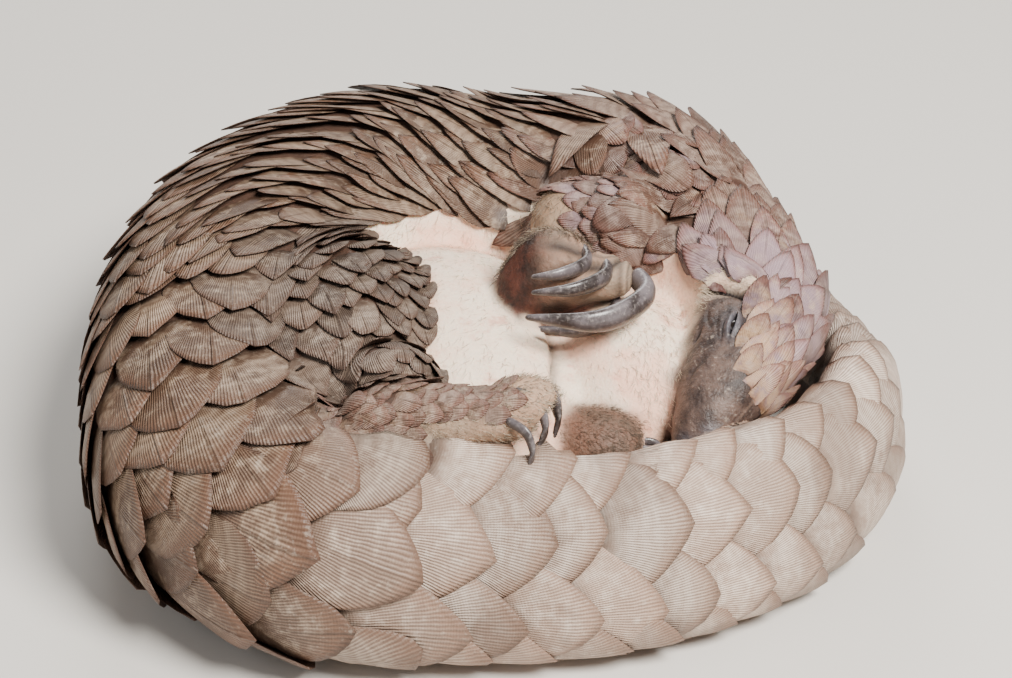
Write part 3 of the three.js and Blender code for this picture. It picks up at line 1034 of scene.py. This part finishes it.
def scale_facts(roots):
    """What is known of each scale before chance comes in, as columns."""
    it = SimpleNamespace(count=len(roots))
    it.tail, it.head, it.leg = (column(share) for share in zip(*map(region_of, roots)))
    it.width, it.spacing = (column(root[key] for root in roots) for key in ("width", "spacing"))
    it.start, it.normal, it.ahead = (
        np.array([root[key] for root in roots]) for key in ("place", "normal", "direction")
    )
    corner = np.array([root["vertex"] for root in roots])
    it.arm = column(owned_by("upper_arm", "forearm", "foot")[corner])
    to_arm = np.minimum(far[part("upper_arm_right")], far[part("forearm_right")])[corner, None]
    it.by_arm = (1 - smooth(to_arm, 1, 9)) * (1 - it.arm)
    it.fan = fan_field[corner, None] * (1 - it.by_arm)
    t, angle = (column(root[key] for root in roots) for key in ("t", "angle"))
    it.home = np.where(owner[corner] == 0, t[:, 0], -1.0)
    near_face = smooth(np.degrees(np.abs(angle)) - scaled_half(t), -14, -2)
    near_face = near_face * (1 - smooth(t, 2.9, 3.2))
    wrist_end = smooth(along[part("forearm_right")][corner, None], 0.4, 0.75)
    it.creamy = np.maximum(near_face * (1 - it.arm), 0.7 * wrist_end * it.arm)
    return it


def outline(it, s, r):
    """Where each corner of a scale lies across (x) and along (y) the skin."""
    chance = lambda: rng.standard_normal((it.count, 1))
    yaw = 0.06 * chance() * (1 - 0.6 * it.tail + 1.2 * it.head)
    it.ahead = it.ahead * np.cos(yaw) + np.cross(it.ahead, it.normal) * np.sin(yaw)
    it.half = it.width * 0.52 * (1 + 0.05 * chance())
    length = it.spacing * (1.75 - 0.10 * it.tail + 0.2 * it.head * (1 - it.leg))
    it.length = length * (1 + (0.06 + 0.05 * it.head) * chance())
    shoulder = 0.50 - 0.12 * it.tail - 0.14 * it.head + 0.04 * chance()
    arch = 0.60 + 0.03 * it.tail - 0.22 * it.arm + 0.05 * chance()
    blunt = 1.0 + 0.45 * rng.random((it.count, 1))
    edge = shoulder + (1 - shoulder) * np.maximum(1 - np.abs(s) ** blunt, 0) ** arch
    worn = (1 - 0.75 * it.tail) * (1 - 0.5 * it.head)
    for waves in (5, 9, 14):
        phase = rng.random((it.count, 1)) * 6.3
        edge = edge + worn * 0.10 / waves * np.cos(s * waves + phase) * rng.random((it.count, 1))
    waist = (0.66 + 0.34 * smooth(r, 0.0, 0.5)) * (1 - 0.08 * smooth(r, 0.75, 1.0))
    return s * it.half * waist, r * edge * it.length


def heights(it, s, r, x, y, stiff):
    """How high the upper and lower sheet of each scale stand over the skin."""
    thick = 0.45 + 0.022 * it.width + 0.25 * it.tail
    tilt = 1.75 + 0.25 * it.head + 0.45 * rng.random((it.count, 1)) - 0.65 * it.tail
    slope = thick * tilt / it.spacing * (1 - 0.40 * it.arm - 0.35 * it.by_arm)
    curl = (1 - it.tail) * (1 - it.arm) * 1.2 * rng.random((it.count, 1)) * r**2
    rise = slope * y + curl - 0.36 * it.fan * x * smooth(r, 0, 0.4)
    vault = 0.55 * thick * (1 - s**2) * smooth(r, 0.0, 0.4)
    keel = 0.35 * thick * np.exp(-((s / 0.16) ** 2)) * smooth(r, 0.25, 0.8) * (1 - 0.8 * it.tail)
    thin = np.maximum(np.abs(s) ** 5, smooth(r, 0.80, 1.0))
    sunk = 0.6 + 1.4 * (1 - smooth(r, 0.0, 0.22))
    top = rise + vault + keel - 0.35 * thick * thin - sunk + stiff
    low = rise + 0.8 * vault - thick * (1 - 0.62 * thin) - sunk + stiff
    return top[..., None], low[..., None]


def scale_shapes(roots, across, lengthwise):
    """Corner places of every scale, its upper sheet first, and what the finish needs."""
    s, r, faces = scale_template(across, lengthwise)
    it = scale_facts(roots)
    x, y = outline(it, s, r)
    reach_x, reach_y = 2.2 * it.half, 1.1 * it.length
    grid, up = laid_out(it.start, it.ahead, it.normal, reach_x[:, 0], reach_y[:, 0], it.home)
    row = y / reach_y * (grid.shape[1] - 1)
    col = (x / reach_x + 0.5) * (grid.shape[2] - 1)
    base = between(grid, row, col)
    stand = unit(between(up, row, col))
    below = ((it.start[:, None] - base) * it.normal[:, None]).sum(-1)
    stiff = 0.30 * (1 - it.tail) * np.clip(below, 0, 0.25 * it.length)
    top, low = heights(it, s, r, x, y, stiff)
    world = np.concatenate([base + stand * top, base + stand * low], axis=1)
    for k in np.where(it.tail[:, 0] > 0.5)[0]:
        world[k] = tucked(world[k])
    margin = np.maximum(smooth(np.abs(s), 0.80, 1.0) * smooth(r, 0.2, 0.6), smooth(r, 0.80, 1.0))
    tones = [rng.random((it.count, 1)) for _ in range(3)]
    tones[2] = 0.8 * tones[2] + (1 - 0.8 * tones[2]) * it.creamy
    both = lambda values: np.tile(np.broadcast_to(values, x.shape), 2).ravel()
    sheet = np.tile(np.repeat([0.0, 1.0], len(s)), it.count)
    marks = {
        "Tone": [both(tone) for tone in tones],
        "Region": [both(it.tail), both(it.head), both(it.leg)],
        "Span": [both(x), both(y), both(margin)],
        # The lower sheet is marked so that its underside gets painted shade.
        "Side": [sheet, both(r), both(s)],
    }
    return world, faces, marks, np.stack([both(s * 0.5 + 0.5), both(r)], -1)


def build_scales(name, roots, across, lengthwise):
    world, faces, marks, local = scale_shapes(roots, across, lengthwise)
    each = world.shape[1]
    every = (faces[None] + (each * np.arange(len(roots)))[:, None, None]).reshape(-1, 4)
    obj = mesh_from(name, to_metres(world.reshape(-1, 3)), every.tolist())
    for mark, values in marks.items():
        colour_attribute(obj, mark, np.stack(values, -1))
    places = np.array([(root["t"], math.degrees(root["angle"])) for root in roots])
    bake_map(obj, places, local, every.ravel(), each)
    return obj


def uncovered(across=7, lengthwise=6):
    """Corners of the skin that should lie under a scale and don't, seen from three sides."""
    world, faces, _, _ = scale_shapes(coat.roots, across, lengthwise)
    upper = faces[::2][: (across - 1) * (lengthwise - 1)]
    every = (upper[None] + (world.shape[1] * np.arange(len(world)))[:, None, None]).reshape(-1, 4)
    roof = BVHTree.FromPolygons(world.reshape(-1, 3).tolist(), every.tolist())
    wanted = scaled & (body_t < 15.5) & ((body_t > 2.4) | (owner > 0))
    aside = np.cross(normals, direction)

    def shows(k, slant, reach):
        way = unit(normals[k] + slant * aside[k])
        return roof.ray_cast(points[k] - normals[k] * 2.0, way, reach)[0] is None

    slants = ((0.0, 10.0), (0.9, 16.0), (-0.9, 16.0))
    return [k for k in np.where(wanted)[0] if any(shows(k, *slant) for slant in slants)]


def patch_gaps():
    """Adds a scale over each gap, rooted a little way up the coat from it."""
    patched = []
    for k in uncovered():
        if any(np.linalg.norm(points[k] - points[j]) < 0.4 * width_field[k] for j in patched):
            continue
        patched.append(k)
        root_at = skin_tree.find(points[k] - direction[k] * (0.8 * spacing_field[k]))[1]
        way = turned(points[k] - points[root_at], normals[root_at])
        size = width_field[k], spacing_field[k]
        coat.add(root_at, way, *size, body_t[root_at], body_angle[root_at], k)


coat.roots = [root for root in coat.roots if not astray(root)]
for _ in range(2):
    patch_gaps()
    coat.roots = [root for root in coat.roots if not astray(root)]


def bake_map(obj, places, local, corners, each):
    """OFBake: each piece's patch lies where its root lies, along and around the body."""
    count = len(places)
    rows = round(math.sqrt(count))
    by_row = np.array_split(np.argsort(places[:, 0], kind="stable"), rows)
    corner = np.zeros((count, 2))
    size = np.zeros((count, 2))
    for i, group in enumerate(by_row):
        group = group[np.argsort(places[group, 1], kind="stable")]
        for j, k in enumerate(group):
            corner[k] = (j / len(group), i / rows)
            size[k] = (1 / len(group), 1 / rows)
    scale_of = np.repeat(np.arange(count), each)
    underside = np.tile(np.repeat([0, 1], each // 2), count)
    patch = local * 0.9 + 0.05
    patch[:, 0] = patch[:, 0] * np.where(underside, 0.24, 0.72) + underside * 0.74
    placed = corner[scale_of] + patch * size[scale_of]
    layer = obj.data.uv_layers.new(name="OFBake")
    layer.data.foreach_set("uv", placed[corners].astype(np.float32).ravel())


def group_of(root):
    """The joined piece that a scale belongs to."""
    name, t = PART_NAMES[owner[root["vertex"]]], root["t"]
    if name.startswith(("thigh", "shin", "foot")):
        return "leg_scales"
    if name.startswith(("upper_arm", "forearm")) or t < 6.2:
        return "head_scales"
    if t > 13.3:
        return "tail_scales"
    return "back_scales" if root["angle"] > -0.3 else "side_scales"


groups = {}
for root in coat.roots:
    groups.setdefault(group_of(root), []).append(root)


# Shader maths
class Sum:
    """A shader socket that adds its own Math nodes when it is reckoned with."""

    def __init__(self, finish, socket):
        self.finish, self.socket = finish, socket

    def reckoned(self, operation, *values):
        inputs = {f"_{k}": value for k, value in enumerate(values)}
        return self.finish.node("Math", {"operation": operation}, **inputs)

    def __add__(self, other):
        return self.reckoned("ADD", self, other)

    __radd__ = __add__

    def __sub__(self, other):
        return self.reckoned("SUBTRACT", self, other)

    def __rsub__(self, other):
        return self.reckoned("SUBTRACT", other, self)

    def __mul__(self, other):
        return self.reckoned("MULTIPLY", self, other)

    __rmul__ = __mul__

    def __truediv__(self, other):
        return self.reckoned("DIVIDE", self, other)

    def __pow__(self, other):
        return self.reckoned("POWER", self, other)

    def sine(self):
        return self.reckoned("SINE", self)

    def absolute(self):
        return self.reckoned("ABSOLUTE", self)

    def least(self, other):
        return self.reckoned("MINIMUM", self, other)


class Finish:
    """A material in the making."""

    def __init__(self, name):
        self.material = bpy.data.materials.new(name)
        self.material.use_nodes = True
        self.tree = self.material.node_tree
        self.tree.nodes.clear()
        shader = self.node("BsdfPrincipled")
        self.node("OutputMaterial", Surface=shader, output=None)
        self.shader = shader.socket.node

    def feed(self, socket, value):
        if isinstance(value, Sum):
            self.tree.links.new(value.socket, socket)
        else:
            socket.default_value = value

    def node(self, kind, settings=None, output=0, **inputs):
        """Any node: its settings, then the values or links of its sockets.

        A socket is given by name, or by number after an underscore.
        """
        node = self.tree.nodes.new("ShaderNode" + kind)
        for key, value in (settings or {}).items():
            setattr(node, key, value)
        for key, value in inputs.items():
            self.feed(node.inputs[int(key[1:]) if key[0] == "_" else key], value)
        return None if output is None else Sum(self, node.outputs[output])

    def set(self, **inputs):
        """Values or links of the surface itself, with underscores for spaces."""
        for key, value in inputs.items():
            self.feed(self.shader.inputs[key.replace("_", " ")], value)

    def place(self):
        return self.node("TexCoord", output=3)

    def noise(self, scale, detail, roughness, where):
        return self.node("TexNoise", Vector=where, Scale=scale, Detail=detail, Roughness=roughness)

    def attribute(self, name):
        """The three channels of a colour attribute."""
        colour = self.node("Attribute", {"attribute_name": name})
        split = self.node("SeparateXYZ", Vector=colour).socket.node
        return [Sum(self, channel) for channel in split.outputs]

    def step(self, value, low, high):
        limits = {"From Min": low, "From Max": high}
        return self.node("MapRange", {"interpolation_type": "SMOOTHSTEP"}, Value=value, **limits)

    def mix(self, factor, first, second, blend="MIX"):
        settings = {"data_type": "RGBA", "blend_type": blend, "clamp_factor": True}
        return self.node("Mix", settings, output=2, _0=factor, _6=first, _7=second)

    def dimmed(self, colour, value):
        """A colour times a value that varies over the surface."""
        grey = self.node("CombineXYZ", X=value, Y=value, Z=value)
        return self.mix(1.0, colour, grey, "MULTIPLY")

    def bump(self, height, distance, strength):
        return self.node("Bump", Height=height, Distance=distance, Strength=strength)


def rgb(red, green, blue):
    """A screen colour of 0 to 255 as the linear colour that shaders use."""
    out = []
    for c in (red, green, blue):
        c /= 255
        out.append(c / 12.92 if c <= 0.04045 else ((c + 0.055) / 1.055) ** 2.4)
    return (*out, 1.0)


FAN_ROOT = 11.0


def horn_finish():
    """Scales: fine grooves that fan out, worn pale fields, dark edges, four ground tones; painted shade
    at root and underside.
    """
    f = Finish("horn_scales")
    x, y, margin = f.attribute("Span")
    under, r, s = f.attribute("Side")
    tone_1, tone_2, tone_3 = f.attribute("Tone")
    tail, head, leg = f.attribute("Region")
    place = f.place()
    cloud = f.noise(70.0, 4, 0.6, place)
    patch = f.noise(230.0, 4, 0.65, place)
    fine = f.noise(700.0, 4, 0.7, place)
    wobble = f.noise(160.0, 2, 0.5, place)
    wide_cloud = f.noise(55.0, 3, 0.6, place)
    stain_cloud = f.noise(26.0, 4, 0.65, place)

    # Grooves fan out from behind the root; growth lines cross them.
    behind = y + FAN_ROOT
    reach = (x * x + behind * behind) ** 0.5
    fan = (x / behind * 235.0 + wobble * 5.0 + tone_1 * 20).sine() * 0.5 + 0.5
    growth = (reach * 7.0 + wobble * 6.0 + tone_2 * 9).sine() * 0.5 + 0.5
    bands = (reach * 1.5 + wobble * 9.0 + tone_3 * 9).sine() * 0.5 + 0.5
    shown = f.step(r, 0.25, 0.5)
    worn = f.step(patch * 0.6 + cloud * 0.4 + tone_2 * 0.25, 0.5, 0.68)
    golden = f.step(patch * 0.65 + tone_3 * 0.35, 0.52, 0.72)
    wet = f.step(wide_cloud + (tone_1 - 0.5) * 0.35 + (head - 0.85) * 0.8, 0.40, 0.62)

    # Ground tones
    body_base = f.mix(cloud, rgb(58, 38, 27), rgb(108, 78, 59))
    leg_base = f.mix(cloud, rgb(50, 40, 34), rgb(104, 86, 75))
    tail_base = f.mix(cloud, rgb(146, 118, 100), rgb(192, 168, 152))
    lilac = f.mix(wet, rgb(84, 54, 43), rgb(150, 126, 133))
    head_base = f.mix(golden * 0.8, lilac, rgb(198, 158, 116))
    base = f.mix(leg, f.mix(head, f.mix(tail, body_base, tail_base), head_base), leg_base)
    pale = f.mix(tail, rgb(180, 155, 131), rgb(226, 210, 196))
    light = f.mix(head, f.mix(leg, pale, rgb(154, 136, 121)), rgb(174, 148, 143))
    dark = f.mix(tail, rgb(52, 36, 27), rgb(108, 82, 68))
    tip = f.mix(leg, f.mix(tail, rgb(106, 73, 54), rgb(146, 110, 88)), rgb(92, 68, 56))
    tip = f.mix(head, tip, rgb(128, 88, 80))
    edge = f.mix(head, f.mix(tail, rgb(70, 48, 38), rgb(110, 86, 72)), rgb(92, 54, 44))
    # Painted shade for the root of each scale, where the scale before overlaps it.
    gap = f.mix(head, rgb(52, 38, 30), rgb(74, 32, 20))

    # From the ground up: worn fields, lines, tip, edge, painted root shade, keel, dust, stains, painted
    # underside shade
    broad = worn * (1 - f.step(r, 0.72, 0.95)) * (0.35 + bands * 0.5)
    colour = f.mix(broad * (0.75 - tail * 0.15), base, light)
    raised = f.step(fan, 0.35, 0.95) * shown * (0.5 - head * 0.35)
    colour = f.mix(raised * (0.35 + worn * 0.65), colour, light)
    sunken = (1 - f.step(fan, 0.0, 0.45)) * shown
    colour = f.mix(sunken * (0.42 - head * 0.3), colour, dark)
    at_tip = f.step(r + (cloud - 0.5) * 0.3 + (tone_3 - 0.5) * 0.15, 0.70, 0.98)
    colour = f.mix(at_tip * (0.72 - tail * 0.15 - leg * 0.2), colour, tip)
    colour = f.mix(f.step(margin + (fine - 0.5) * 0.5, 0.55, 1.0) * 0.55, colour, edge)
    # Painted shade at the root, under the scale before.
    colour = f.mix((1 - f.step(r, 0.12, 0.48)) * 0.85, colour, gap)
    keel = (1 - f.step(s.absolute(), 0.0, 0.05)) * f.step(r, 0.35, 0.6)
    keel = keel * (1 - tail) * (1 - head * 0.5)
    colour = f.mix(keel * 0.35, colour, rgb(70, 50, 40))
    dust = f.step(fine * 0.6 + patch * 0.4 + tone_3 * 0.06, 0.55, 0.68) * 0.25
    colour = f.mix(dust, colour, rgb(190, 178, 164))
    stained = f.step(stain_cloud + (tone_2 - 0.5) * 0.3, 0.50, 0.66)
    colour = f.mix(stained * (0.24 + tail * 0.3), colour, rgb(104, 78, 63))
    # Painted shade on the underside of each scale.
    colour = f.mix(under, colour, rgb(74, 54, 44))
    value = 0.78 + tone_1 * 0.34 + (fine - 0.5) * 0.25
    f.set(Base_Color=f.dimmed(colour, value), Roughness=0.40 + fine * 0.22 + dust * 0.6)
    height = fan * shown * 0.5 + growth * 0.10 + fine * 0.35 + patch * 0.8 + keel * 1.2
    f.set(Normal=f.bump(height, 0.0004, 0.9))
    return f.material


def skin_finish():
    """Pale belly skin, the dark face and lids, brown palms deepened by painted shade, fur tones,
    painted shade in folds and under scales.
    """
    f = Finish("hide")
    face, palm, fur = f.attribute("Zone")
    under, fold, gloss_and_sheen = f.attribute("ShadeAndGloss")
    place = f.place()
    cloud = f.noise(34.0, 4, 0.6, place)
    blotch = f.noise(110.0, 5, 0.65, place)
    fine = f.noise(750.0, 4, 0.7, place)
    speck = f.noise(420.0, 3, 0.6, place)
    wrinkle = f.noise(300.0, 4, 0.6, place)
    pores = f.node("TexVoronoi", Vector=place, Scale=1100.0)
    bare = f.mix(f.step(cloud, 0.38, 0.64), rgb(255, 232, 208), rgb(255, 204, 176))
    bare = f.mix(f.step(blotch, 0.54, 0.72) * 0.6, bare, rgb(216, 142, 118))
    bare = f.mix(f.step(speck, 0.60, 0.72) * 0.30, bare, rgb(160, 116, 94))
    # The palms' own reddish brown, darkened beyond it with painted shade.
    palm_brown_and_shade = f.mix(f.step(blotch, 0.35, 0.65), rgb(28, 12, 8), rgb(84, 42, 28))
    palm_brown_and_shade = f.mix(f.step(cloud, 0.45, 0.62) * 0.2, palm_brown_and_shade, rgb(110, 80, 62))
    furry = f.mix(blotch, rgb(78, 56, 41), rgb(172, 142, 110))
    dark_face = f.step(blotch * 0.7 + cloud * 0.3, 0.38, 0.66)
    dark_face = f.mix(dark_face, rgb(46, 34, 31), rgb(112, 90, 80))
    dark_face = f.mix(f.step(speck, 0.62, 0.72) * 0.35, dark_face, rgb(196, 178, 162))
    lid = f.mix(blotch, rgb(74, 74, 82), rgb(134, 134, 144))
    # Painted shade for the skin under the scales.
    shade_under_scales = f.mix(blotch, rgb(50, 36, 28), rgb(88, 60, 46))
    colour = bare
    # The lid tone on the glossy places is the lids' own bluish grey, and on the nose pad a painted
    # bluish highlight; the tones under the scales and in the folds are painted shade.
    for share, tone in (
        (palm, palm_brown_and_shade), (fur, furry), (face, dark_face), (gloss_and_sheen * 0.75, lid),
        (under, shade_under_scales), ((fold * 1.2).least(1.0), rgb(34, 24, 22)),
    ):
        colour = f.mix(share, colour, tone)
    f.set(Base_Color=f.dimmed(colour, 0.94 + (fine - 0.5) * 0.35))
    f.set(Roughness=0.62 - face * 0.14 - gloss_and_sheen * 0.22 + fine * 0.1)
    f.set(Subsurface_Weight=0.12, Subsurface_Radius=(0.006, 0.003, 0.002), Subsurface_Scale=0.6)
    height = pores * 0.25 + wrinkle * (0.8 + face * 0.8 + palm * 0.8) + fine * 0.45
    f.set(Normal=f.bump(height, 0.0007, 0.7))
    return f.material


def claw_finish():
    """Grey horn with a dull shine, with painted shade on the sides that face the ground."""
    f = Finish("claw_horn")
    place = f.place()
    cloud = f.noise(120.0, 4, 0.6, place)
    grain = f.noise(800.0, 3, 0.6, place)
    facing_up = f.attribute("Facing")[2]
    colour = f.mix(f.step(cloud, 0.35, 0.65), rgb(44, 37, 36), rgb(108, 100, 103))
    colour = f.mix(f.step(grain, 0.50, 0.74) * 0.4, colour, rgb(180, 170, 166))
    # Painted shade on the sides that face the ground.
    colour = f.mix((1 - f.step(facing_up, -0.3, 0.5)) * 0.75, colour, rgb(44, 34, 30))
    f.set(Base_Color=colour, Roughness=0.26 + cloud * 0.2)
    f.set(Coat_Weight=0.35, Coat_Roughness=0.2)
    f.set(Normal=f.bump(grain + cloud * 2, 0.0003, 0.5))
    return f.material


def eye_finish():
    f = Finish("wet_eye")
    cloud = f.noise(400.0, 4, 0.55, f.place())
    colour = f.mix(cloud, rgb(12, 9, 8), rgb(34, 24, 18))
    f.set(Base_Color=colour, Roughness=0.16, Coat_Weight=0.3)
    return f.material


def hair_finish():
    f = Finish("thin_hair")
    tone = f.attribute("Tone")[0]
    f.set(Base_Color=f.mix(tone, rgb(58, 40, 30), rgb(222, 202, 176)), Roughness=0.55)
    return f.material


HORN = horn_finish()
HIDE = skin_finish()
CLAW = claw_finish()
WET_EYE = eye_finish()
HAIR = hair_finish()

# Scales on the model: corners across and along each one, more on the broad tail
SCALE_GRID = {"tail_scales": (15, 13)}
for name, roots in groups.items():
    shade(build_scales(name, roots, *SCALE_GRID.get(name, (11, 9))), HORN)


# Skin zones and relief
def softened(field, times=3):
    """Each corner's value evened out with its neighbours'."""
    for _ in range(times):
        total, counts = field.copy(), np.ones(len(field))
        np.add.at(total, skin_edges[:, 0], field[skin_edges[:, 1]])
        np.add.at(total, skin_edges[:, 1], field[skin_edges[:, 0]])
        np.add.at(counts, skin_edges.ravel(), 1)
        field = total / counts
    return field


def paint_skin():
    hand = owned_by("fist", "finger", "palm")
    foot = owned_by("foot", "toe")
    wrist = smooth(points[:, 1], 6, 15)
    fingers = 0.55 * smooth(points[:, 0], 12, 26) * smooth(points[:, 2], 78, 84)
    wrist = np.where(owned_by("fist_left"), 0.12, np.maximum(wrist, fingers))
    palm = softened(hand * (1 - 0.75 * wrist))
    fur = 0.85 * hand * wrist + 0.75 * foot + 0.9 * owned_by("forearm") * (1 - scaled)
    fur = softened(fur + 0.3 * owned_by("ear"), 5)
    # Painted shade where scales cover the skin.
    under = softened(scaled.astype(float))
    colour_attribute(skin, "Zone", np.stack([face_mask(), palm, fur], -1))
    colour_attribute(skin, "ShadeAndGloss", np.stack([under, fold_shade, gloss_and_sheen], -1))


paint_skin()
shade(skin, HIDE)


# Thin hair, where the photo shows some: on the belly, throat, wrist, paws and toes.
# Rings of a strand from root to tip: how far along it, and how wide.
STRAND = ((0.0, 1.0), (0.4, 0.85), (0.75, 0.5), (1.0, 0.08))
STRAND_SIDES = (0.5, 2.6, 4.7)
PATCH = 0.003


def strand_faces(count):
    sides = len(STRAND_SIDES)
    one = [
        (sides * i + j, sides * i + (j + 1) % sides,
         sides * (i + 1) + (j + 1) % sides, sides * (i + 1) + j)
        for i, j in product(range(len(STRAND) - 1), range(sides))
    ]
    each = sides * len(STRAND)
    return (np.array(one)[None] + each * np.arange(count)[:, None, None]).reshape(-1, 4)


def hair_patch(name, allowed, count, length, thick, lean, way, tones):
    """Bent tapering strands over the allowed part of the skin."""
    among = np.where(allowed & (points[:, 2] > 3))[0]
    chosen = among[rng.integers(0, len(among), count)]
    normal = normals[chosen]
    spots = points[chosen] + turned(rng.standard_normal((count, 3)), normal) * rng.random((count, 1))
    ahead = np.broadcast_to(way, (count, 3)) + 0.35 * rng.standard_normal((count, 3))
    ahead = turned(ahead, normal)
    aside = np.cross(normal, ahead)
    reach = length * (0.6 + 0.8 * rng.random((count, 1)))
    bend = 0.25 * rng.standard_normal((count, 1))
    rings = []
    for share, wide in STRAND:
        up = np.sin(share * 1.6) * (1 - lean)
        centre = spots + reach * (ahead * share * lean + normal * up + aside * bend * share**2)
        centre = centre - normal * (0.4 * (1 - share))
        rings += [
            centre + 0.5 * thick * wide * (math.cos(turn) * aside + math.sin(turn) * normal)
            for turn in STRAND_SIDES
        ]
    every = strand_faces(count)
    obj = mesh_from(name, to_metres(np.stack(rings, 1).reshape(-1, 3)), every.tolist())
    tone = tones[0] + (tones[1] - tones[0]) * rng.random((count, 1))
    tone = np.concatenate([tone, rng.random((count, 2))], 1)
    colour_attribute(obj, "Tone", np.repeat(tone, len(rings), axis=0))
    sides = len(STRAND_SIDES)
    local = np.array([(j / sides, i / sides) for i, j in product(range(len(STRAND)), range(sides))])
    root_at = np.stack([body_t[chosen] / LAST, body_angle[chosen] / (2 * math.pi) + 0.5], -1)
    patch = np.repeat(root_at, len(rings), axis=0) * 0.99 + PATCH * np.tile(local, (count, 1))
    layer = obj.data.uv_layers.new(name="OFBake")
    layer.data.foreach_set("uv", patch[every.ravel()].astype(np.float32).ravel())
    shade(obj, HAIR)


def grow_hair():
    bare = ~scaled
    up = bare & (normals[:, 2] > 0.15)
    right_hand = owned_by("fist", "finger", "palm") & (points[:, 2] > 62)
    wrist = right_hand & (points[:, 1] > 5) | owned_by("forearm_right") & bare
    foot = owned_by("foot_right", "toe") & bare
    belly = up & owned_by("belly", "body") & (body_t > 5)
    throat = up & owned_by("throat")
    ear = owned_by("ear") & bare
    paw = owned_by("fist_left") & (points[:, 2] > 52)
    hair_patch("hair_wrist", wrist, 2600, 4.2, 0.22, 0.8, (-0.35, -1.0, 0.0), (0.0, 0.45))
    hair_patch("hair_foot", foot, 1400, 3.6, 0.22, 0.75, (1.0, -0.2, 0.1), (0.15, 0.9))
    hair_patch("hair_belly", belly, 1100, 5.5, 0.16, 0.85, (-0.3, -1.0, 0.0), (0.5, 1.0))
    hair_patch("hair_throat", throat, 700, 4.5, 0.16, 0.85, (0.3, -1.0, 0.0), (0.6, 1.0))
    hair_patch("hair_ear", ear, 500, 3.0, 0.16, 0.8, (-1.0, 0.3, 0.0), (0.5, 1.0))
    hair_patch("hair_paw", paw, 1500, 2.6, 0.14, 0.85, (1.0, -0.3, 0.0), (0.0, 0.15))


grow_hair()

# Claws and eyes. The hind claws and the outer fore claws are slimmer than their solids.
CLAW_SETS = {
    "fore_right": FORE_CLAWS,
    "fore_left": LEFT_FORE_CLAWS,
    "hind_right": HIND_CLAWS,
    "hind_left": [mirrored(c, LEFT_HIND_SHIFT) for c in HIND_CLAWS],
}
for foot, claws in CLAW_SETS.items():
    for number, rows in enumerate(claws, 1):
        slim = 0.74 if foot.startswith("hind") else 0.82 if number < 3 else 0.95
        rows = [(x, y, z, slim * radius) for x, y, z, radius in rows]
        claw = ball(f"horn_claw_{foot}_{number}", 24, 32, limb(rows, 0.0, 0.62))
        # The normals, for the painted shade on the claws' undersides.
        colour_attribute(claw, "Facing", vertex_normals(claw))
        shade(claw, CLAW)
        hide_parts(f"claw_{foot}_{number}")
for side, (x, y, z, radius) in (("right", EYE), ("left", across_head(EYE))):
    eye = ball(f"wet_eye_{side}", 32, 24, egg((x, y, z), (radius,) * 3, 0))
    shade(eye, WET_EYE)
    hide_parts(f"eye_{side}")

LONG_NODES = ["head", "neck", "chest", "loin", "hips", *(f"tail_{n}" for n in range(1, 6))]
PAIRED_NODES = ["ear", "upper_arm", "forearm", "forefoot", "thigh", "shin", "hindfoot"]
paired = [f"{name}_{side}" for name, side in product(PAIRED_NODES, ("right", "left"))]
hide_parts(*LONG_NODES, "belly", "throat", *paired)


# Floor, light and camera
def plain(name, colour, roughness):
    f = Finish(name)
    f.set(Base_Color=rgb(*colour), Roughness=roughness)
    return f.material


deselect()
bpy.ops.mesh.primitive_plane_add(size=6.0, location=(0, 0, 0))
floor = bpy.context.object
floor.name = "floor"
floor.data.materials.append(plain("pale_floor", (214, 210, 204), 0.8))


def area_light(name, place, size, power, colour):
    light = bpy.data.lights.new(name, "AREA")
    light.shape = "DISK"
    light.size = size
    light.energy = power
    light.color = colour
    obj = bpy.data.objects.new(name, light)
    obj.location = place
    obj.rotation_euler = (-Vector(place) + Vector((0, 0, 0.04))).to_track_quat("-Z", "Y").to_euler()
    bpy.context.scene.collection.objects.link(obj)


area_light("key", (0.55, -0.62, 1.15), 0.55, 48.0, (1.0, 0.965, 0.91))
area_light("fill", (-1.0, -0.7, 0.9), 1.0, 4.0, (0.95, 0.97, 1.0))
area_light("rim", (-0.2, 1.2, 0.9), 0.8, 13.0, (1.0, 0.99, 0.97))
world = bpy.data.worlds.new("studio")
world.use_nodes = True
world.node_tree.nodes["Background"].inputs[0].default_value = (1.0, 0.98, 0.95, 1)
world.node_tree.nodes["Background"].inputs[1].default_value = 0.22
bpy.context.scene.world = world

CAMERA_TARGET = np.array([4.0, 0.0, 60.0])
CAMERA_ELEVATION = math.radians(35)
CAMERA_DISTANCE = 800.0
PHOTO_WIDTH_PX = 1012
FOCAL_LENGTH_PX = 2400
camera_data = bpy.data.cameras.new("camera")
camera_data.sensor_width = 36.0
camera_data.lens = camera_data.sensor_width * FOCAL_LENGTH_PX / PHOTO_WIDTH_PX
camera = bpy.data.objects.new("camera", camera_data)
away = np.array([0.0, -math.cos(CAMERA_ELEVATION), math.sin(CAMERA_ELEVATION)])
camera.location = (CAMERA_TARGET + away * CAMERA_DISTANCE + ORIGIN_SHIFT) * MM
camera.rotation_euler = (math.pi / 2 - CAMERA_ELEVATION, 0, 0)
bpy.context.scene.collection.objects.link(camera)
bpy.context.scene.camera = camera
